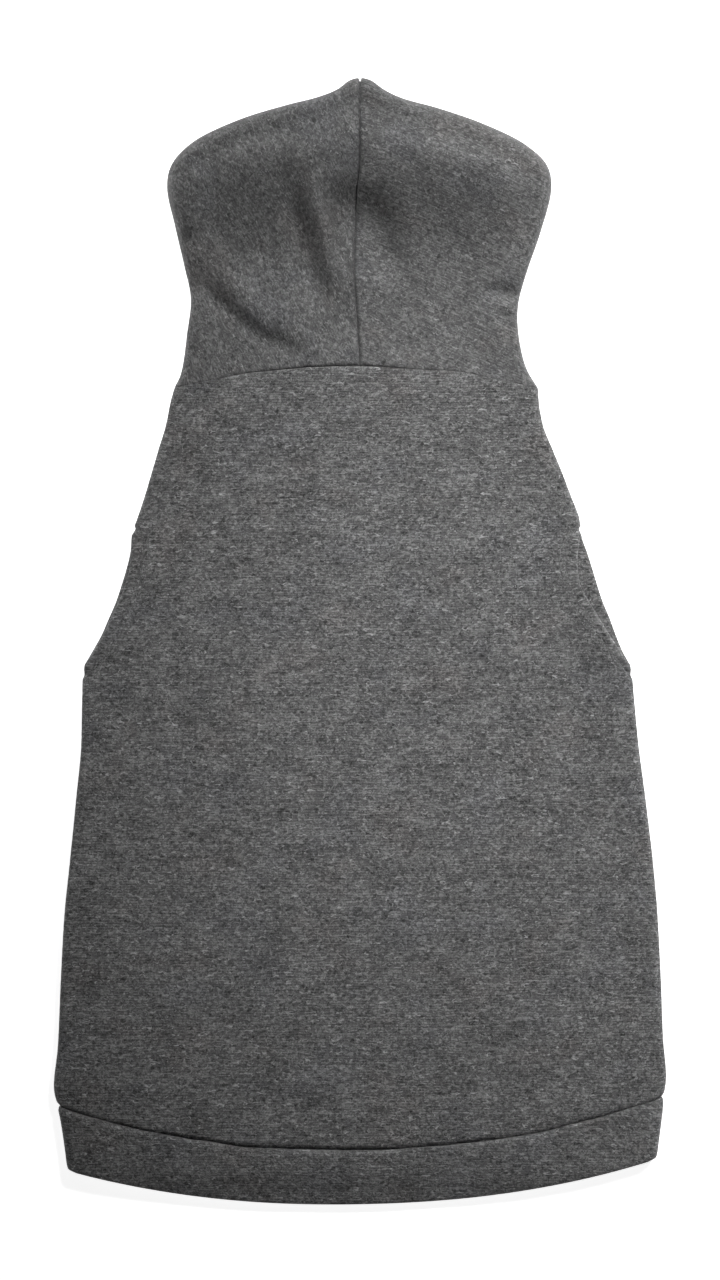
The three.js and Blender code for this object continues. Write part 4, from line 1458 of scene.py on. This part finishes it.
@dataclass(frozen=True)
class Streaks:
    """A field of fibre streaks on the cut: their length along a course, and their thickness."""

    length: float
    thickness: float
    shift: float = 0.0
    detail: float = 2.0
    roughness: float = 0.6
    distortion: float = 0.0

    def add(self, tree: Tree, cut: Socket) -> Socket:
        """Adds the streaks to a finish.

        Args:
            tree: The node tree that they go into.
            cut: The place on the flat cut.

        Returns:
            Their value, about 0.5 on average.
        """
        scale = (1 / self.length, 1 / self.thickness, 1.0)
        mapping = {"Location": (self.shift, self.shift, 0.0), "Scale": scale}
        place = add_node(tree, "ShaderNodeMapping", mapping, {"Vector": cut}).outputs["Vector"]
        settings = {
            "noise_dimensions": "2D",
            "Scale": 1.0,
            "Detail": self.detail,
            "Roughness": self.roughness,
            "Distortion": self.distortion,
        }
        return add_node(tree, "ShaderNodeTexNoise", settings, {"Vector": place}).outputs["Fac"]


def math_node(tree: Tree, operation: str, *inputs: float | Socket) -> Socket:
    """Returns the result of a math node whose inputs are numbers or outputs."""
    settings, links = {"operation": operation}, {}
    for k, value in enumerate(inputs):
        (links if isinstance(value, Socket) else settings)[k] = value
    return add_node(tree, "ShaderNodeMath", settings, links).outputs[0]


def add_centred(tree: Tree, tone: float | Socket, streaks: Socket, weight: float) -> Socket:
    """Returns a tone with streaks added by weight, so that their average leaves it as it is."""
    below = math_node(tree, "SUBTRACT", tone, weight / 2)
    return math_node(tree, "MULTIPLY_ADD", streaks, weight, below)


@dataclass(frozen=True)
class MelangeFleece:
    """Cotton-rich sweatshirt fleece in charcoal melange, face side.

    It is a knitted jersey face of yarn spun from dark and pale fibres, so the eye gets a charcoal
    ground with short pale and dark dashes along its courses, a faint ribbing of the courses, and the
    soft dull sheen of a fine nap.
    """

    name: str = "charcoal_melange_jersey"
    dark: str = "2b2b2b"
    ground: str = "5c5c5c"
    pale: str = "8d8d8d"
    bright_fibre: str = "bababa"
    warm: str = "615b59"
    cool: str = "5a5b60"
    contrast: float = 1.1
    lift: float = 0.5  # the tone that the melange is drawn around
    yarn_weight: float = 1.7
    dashes_weight: float = 0.9
    clouds_weight: float = 0.45
    courses_weight: float = 0.06
    fibres_weight: float = 0.6
    flecks_weight: float = 0.55
    hue_drift: float = 0.2  # how much of the warm and cool clouds shows
    yarn: Streaks = Streaks(1.15, 1.0, detail=3.0, roughness=0.7, distortion=0.8)
    dashes: Streaks = Streaks(3.8, 1.35, shift=31.0, detail=3.0, roughness=0.6, distortion=1.0)
    fibres: Streaks = Streaks(2.3, 0.9, shift=67.0, detail=2.0, roughness=0.6, distortion=1.0)
    dark_flecks: Streaks = Streaks(1.9, 1.0, shift=113.0, detail=2.0, roughness=0.6, distortion=1.0)
    clouds: Streaks = Streaks(13.0, 8.0, shift=5.0, detail=3.0, roughness=0.6)
    hues: Streaks = Streaks(26.0, 22.0, shift=9.0, detail=2.0)
    course: float = 0.95  # knitted courses, drawn twice as coarse as real ones so that they show
    course_bend: float = 1.5  # how many courses' width they stray
    relief: float = 0.16
    dashes_relief: float = 0.8
    courses_relief: float = 0.25
    roughness: float = 0.93
    sheen: float = 0.14

    def material(self) -> bpy.types.Material:
        """Returns the finish as a material."""
        material, tree = new_material(self.name)
        cut = cut_place(tree)
        yarn, dashes = self.yarn.add(tree, cut), self.dashes.add(tree, cut)
        fibres, flecks = self.fibres.add(tree, cut), self.dark_flecks.add(tree, cut)
        clouds, hues = self.clouds.add(tree, cut), self.hues.add(tree, cut)
        rows = self.courses(tree, cut, clouds)
        tone = add_centred(tree, 0.0, yarn, self.yarn_weight)
        tone = add_centred(tree, tone, dashes, self.dashes_weight)
        tone = add_centred(tree, tone, clouds, self.clouds_weight)
        tone = math_node(tree, "MULTIPLY_ADD", rows, self.courses_weight, tone)
        tone = math_node(tree, "MULTIPLY_ADD", tone, self.contrast, self.lift)
        melange = add_ramp(tree, tone, ((0.0, self.dark), (0.5, self.ground), (1.0, self.pale)))
        stops = ((0.3, self.warm), (0.42, self.ground), (0.56, self.ground), (0.68, self.cool))
        drift = add_ramp(tree, hues, stops)
        settings = {"data_type": "RGBA", "blend_type": "COLOR", "Factor": self.hue_drift}
        base = add_node(tree, "ShaderNodeMix", settings, {6: melange, 7: drift}).outputs[2]
        bright = self.mask(tree, fibres, (0.62, 0.76))
        deep = self.mask(tree, flecks, (0.36, 0.24))
        base = self.over(tree, base, bright, self.bright_fibre, self.fibres_weight * self.contrast)
        base = self.over(tree, base, deep, self.dark, self.flecks_weight * self.contrast)
        relief = math_node(tree, "MULTIPLY_ADD", dashes, self.dashes_relief, yarn)
        relief = math_node(tree, "MULTIPLY_ADD", rows, self.courses_relief, relief)
        settings = {
            "Roughness": self.roughness,
            "Specular IOR Level": 0.2,
            "Sheen Weight": self.sheen,
            "Sheen Roughness": 0.55,
        }
        normal = add_bump(tree, relief, 0.55, self.relief)
        shade(tree, settings, {"Base Color": base, "Normal": normal})
        return material

    def courses(self, tree: Tree, cut: Socket, uneven: Socket) -> Socket:
        """Returns the knitted courses as a wave from -1 to 1 across the grain, slightly bent."""
        across = add_node(tree, "ShaderNodeSeparateXYZ", {}, {"Vector": cut}).outputs["Y"]
        bent = math_node(tree, "MULTIPLY_ADD", uneven, self.course * self.course_bend, across)
        return math_node(tree, "SINE", math_node(tree, "MULTIPLY", bent, math.tau / self.course))

    @staticmethod
    def mask(tree: Tree, value: Socket, limits: tuple[float, float]) -> Socket:
        """Returns 0 to 1 as a value goes from the first limit to the second."""
        settings = {"From Min": limits[0], "From Max": limits[1]}
        return add_node(tree, "ShaderNodeMapRange", settings, {"Value": value}).outputs["Result"]

    @staticmethod
    def over(tree: Tree, base: Socket, mask: Socket, tint: str, strength: float) -> Socket:
        """Returns a colour with a tint, in sRGB hex, laid over it where the mask is 1."""
        amount = math_node(tree, "MULTIPLY", mask, strength)
        settings = {"data_type": "RGBA", 7: colour(tint)}
        return add_node(tree, "ShaderNodeMix", settings, {0: amount, 6: base}).outputs[2]


@dataclass(frozen=True)
class BrushedBack:
    """The same fleece's wrong side, brushed to a loose nap: paler, softer and without courses."""

    name: str = "charcoal_brushed_back"
    dark: str = "4a4747"
    pale: str = "7c7878"
    nap: Streaks = Streaks(1.3, 1.0, shift=17.0, detail=4.0, roughness=0.7, distortion=0.8)
    tufts: Streaks = Streaks(7.0, 6.0, shift=3.0, detail=2.0)
    tufts_weight: float = 0.8
    relief: float = 0.35

    def material(self) -> bpy.types.Material:
        """Returns the finish as a material."""
        material, tree = new_material(self.name)
        cut = cut_place(tree)
        nap, tufts = self.nap.add(tree, cut), self.tufts.add(tree, cut)
        tone = add_centred(tree, nap, tufts, self.tufts_weight)
        base = add_ramp(tree, tone, ((0.2, self.dark), (0.8, self.pale)))
        settings = {
            "Roughness": 1.0,
            "Specular IOR Level": 0.1,
            "Sheen Weight": 0.35,
            "Sheen Roughness": 0.7,
        }
        normal = add_bump(tree, tone, 0.8, self.relief)
        shade(tree, settings, {"Base Color": base, "Normal": normal})
        return material


# ---- studio ---------------------------------------------------------------------------------------
@dataclass
class Studio:
    """The floor, the lights and the camera."""

    image_height: float = 0.4608  # what the camera takes in, top to bottom
    centre_y: float = 0.00036
    camera_height: float = 2.2
    sensor: float = 36.0

    def floor(self) -> None:
        """Makes the plain pale floor."""
        bpy.ops.object.select_all(action="DESELECT")
        bpy.ops.mesh.primitive_grid_add(x_subdivisions=4, y_subdivisions=4, size=9.0)
        floor = bpy.context.object
        floor.name = "floor"
        bpy.ops.object.mode_set(mode="EDIT")
        bpy.ops.transform.translate(value=(0.0, 0.0, -0.0001))
        bpy.ops.object.mode_set(mode="OBJECT")
        material, tree = new_material("white_paper_floor")
        settings = {
            "Base Color": colour("f6f6f6"),
            "Roughness": 0.9,
            "Specular IOR Level": 0.1,
            "Emission Color": (1.0, 1.0, 1.0, 1.0),
            "Emission Strength": 0.85,
        }
        shade(tree, settings, {})
        floor.data.materials.append(material)

    def area(
        self, name: str, place: tuple, aim: tuple, size: float, power: float, beam: float
    ) -> None:
        """Adds a square soft light with a grid that narrows its beam.

        Args:
            name: The light's name.
            place: Where it stands.
            aim: Where it points.
            size: Its side.
            power: Its power in watts.
            beam: The beam's full angle, in degrees.
        """
        light = bpy.data.lights.new(name, "AREA")
        light.shape, light.size, light.energy = "SQUARE", size, power
        light.spread = math.radians(beam)
        lamp = bpy.data.objects.new(name, light)
        lamp.location = place
        lamp.rotation_euler = (Vector(aim) - Vector(place)).to_track_quat("-Z", "Y").to_euler()
        bpy.context.scene.collection.objects.link(lamp)

    def lights(self) -> None:
        """Adds the soft key from the upper right, a weak fill and the room's light."""
        self.area("key", (0.34, 0.38, 0.37), (0.148, 0.016, 0.0), size=0.38, power=0.575, beam=26.0)
        self.area("fill", (-0.16, 0.5, 0.36), (-0.085, 0.185, 0.0), size=0.3, power=0.19, beam=26.0)
        world = bpy.data.worlds.new("studio")
        world.use_nodes = True
        back = world.node_tree.nodes["Background"]
        back.inputs["Color"].default_value = (1.0, 1.0, 1.0, 1.0)
        back.inputs["Strength"].default_value = 0.06
        bpy.context.scene.world = world
        bpy.context.scene.view_settings.view_transform = "Standard"

    def camera(self) -> None:
        """Makes the camera, straight above the garment."""
        data = bpy.data.cameras.new("camera")
        data.sensor_width = self.sensor
        data.lens = self.sensor * self.camera_height / self.image_height
        camera = bpy.data.objects.new("camera", data)
        camera.location = (0.0, self.centre_y, self.camera_height)
        bpy.context.scene.collection.objects.link(camera)
        bpy.context.scene.camera = camera


@dataclass(frozen=True)
class Cut:
    """One piece of cloth as it is cut.

    Attributes:
        width: Its width when opened out flat.
        length: Its length when opened out flat.
        area: The cloth that shows, in square metres.
        rests_on: The pieces it lies on.
    """

    width: float
    length: float
    area: float
    rests_on: tuple[str, ...]


def main() -> None:
    """Builds the hoodie's pieces in order, then the studio."""
    logging.basicConfig(level=logging.INFO, format="%(message)s")
    plan = BodyPlan()
    back = BrushedBack().material()
    body_finish = [MelangeFleece().material(), back]
    hood_fleece = MelangeFleece(
        "charcoal_melange_jersey_hood",
        contrast=0.8,
        lift=0.53,
        courses_weight=0.03,
        yarn=Streaks(1.35, 1.15, detail=3.0, roughness=0.65, distortion=0.8),
        dashes=Streaks(2.9, 1.65, shift=31.0, detail=3.0, roughness=0.6, distortion=1.2),
        fibres=Streaks(2.0, 1.0, shift=67.0, detail=2.0, roughness=0.6, distortion=1.2),
    )
    hood_finish = [hood_fleece.material(), back]
    pieces = [
        Panel(plan, Layer.LOWER, "fleece_front_panel", "front_panel"),
        Panel(plan, Layer.UPPER, "fleece_back_panel", "back_panel"),
        HemBand(plan),
        HoodHalf(plan, Side.LEFT, "fleece_hood_left", "hood_left", grain_degrees=-62.0),
        HoodHalf(plan, Side.RIGHT, "fleece_hood_right", "hood_right", grain_degrees=-24.0),
    ]
    for piece in pieces:
        made = piece.shell().build(hood_finish if isinstance(piece, HoodHalf) else body_finish)
        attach(made, "root")
        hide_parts(piece.node)
        low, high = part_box(piece.node)
        corners = np.array([v.co for v in made.data.vertices]) / MM
        LOG.info(
            "%s: %d faces, box %s to %s, its solid %s to %s",
            made.name, len(made.data.polygons), corners.min(0).round(1), corners.max(0).round(1),
            (np.array(low) / MM).round(1), (np.array(high) / MM).round(1),
        )
    studio = Studio()
    studio.floor()
    studio.lights()
    studio.camera()


if __name__ == "__main__":
    main()
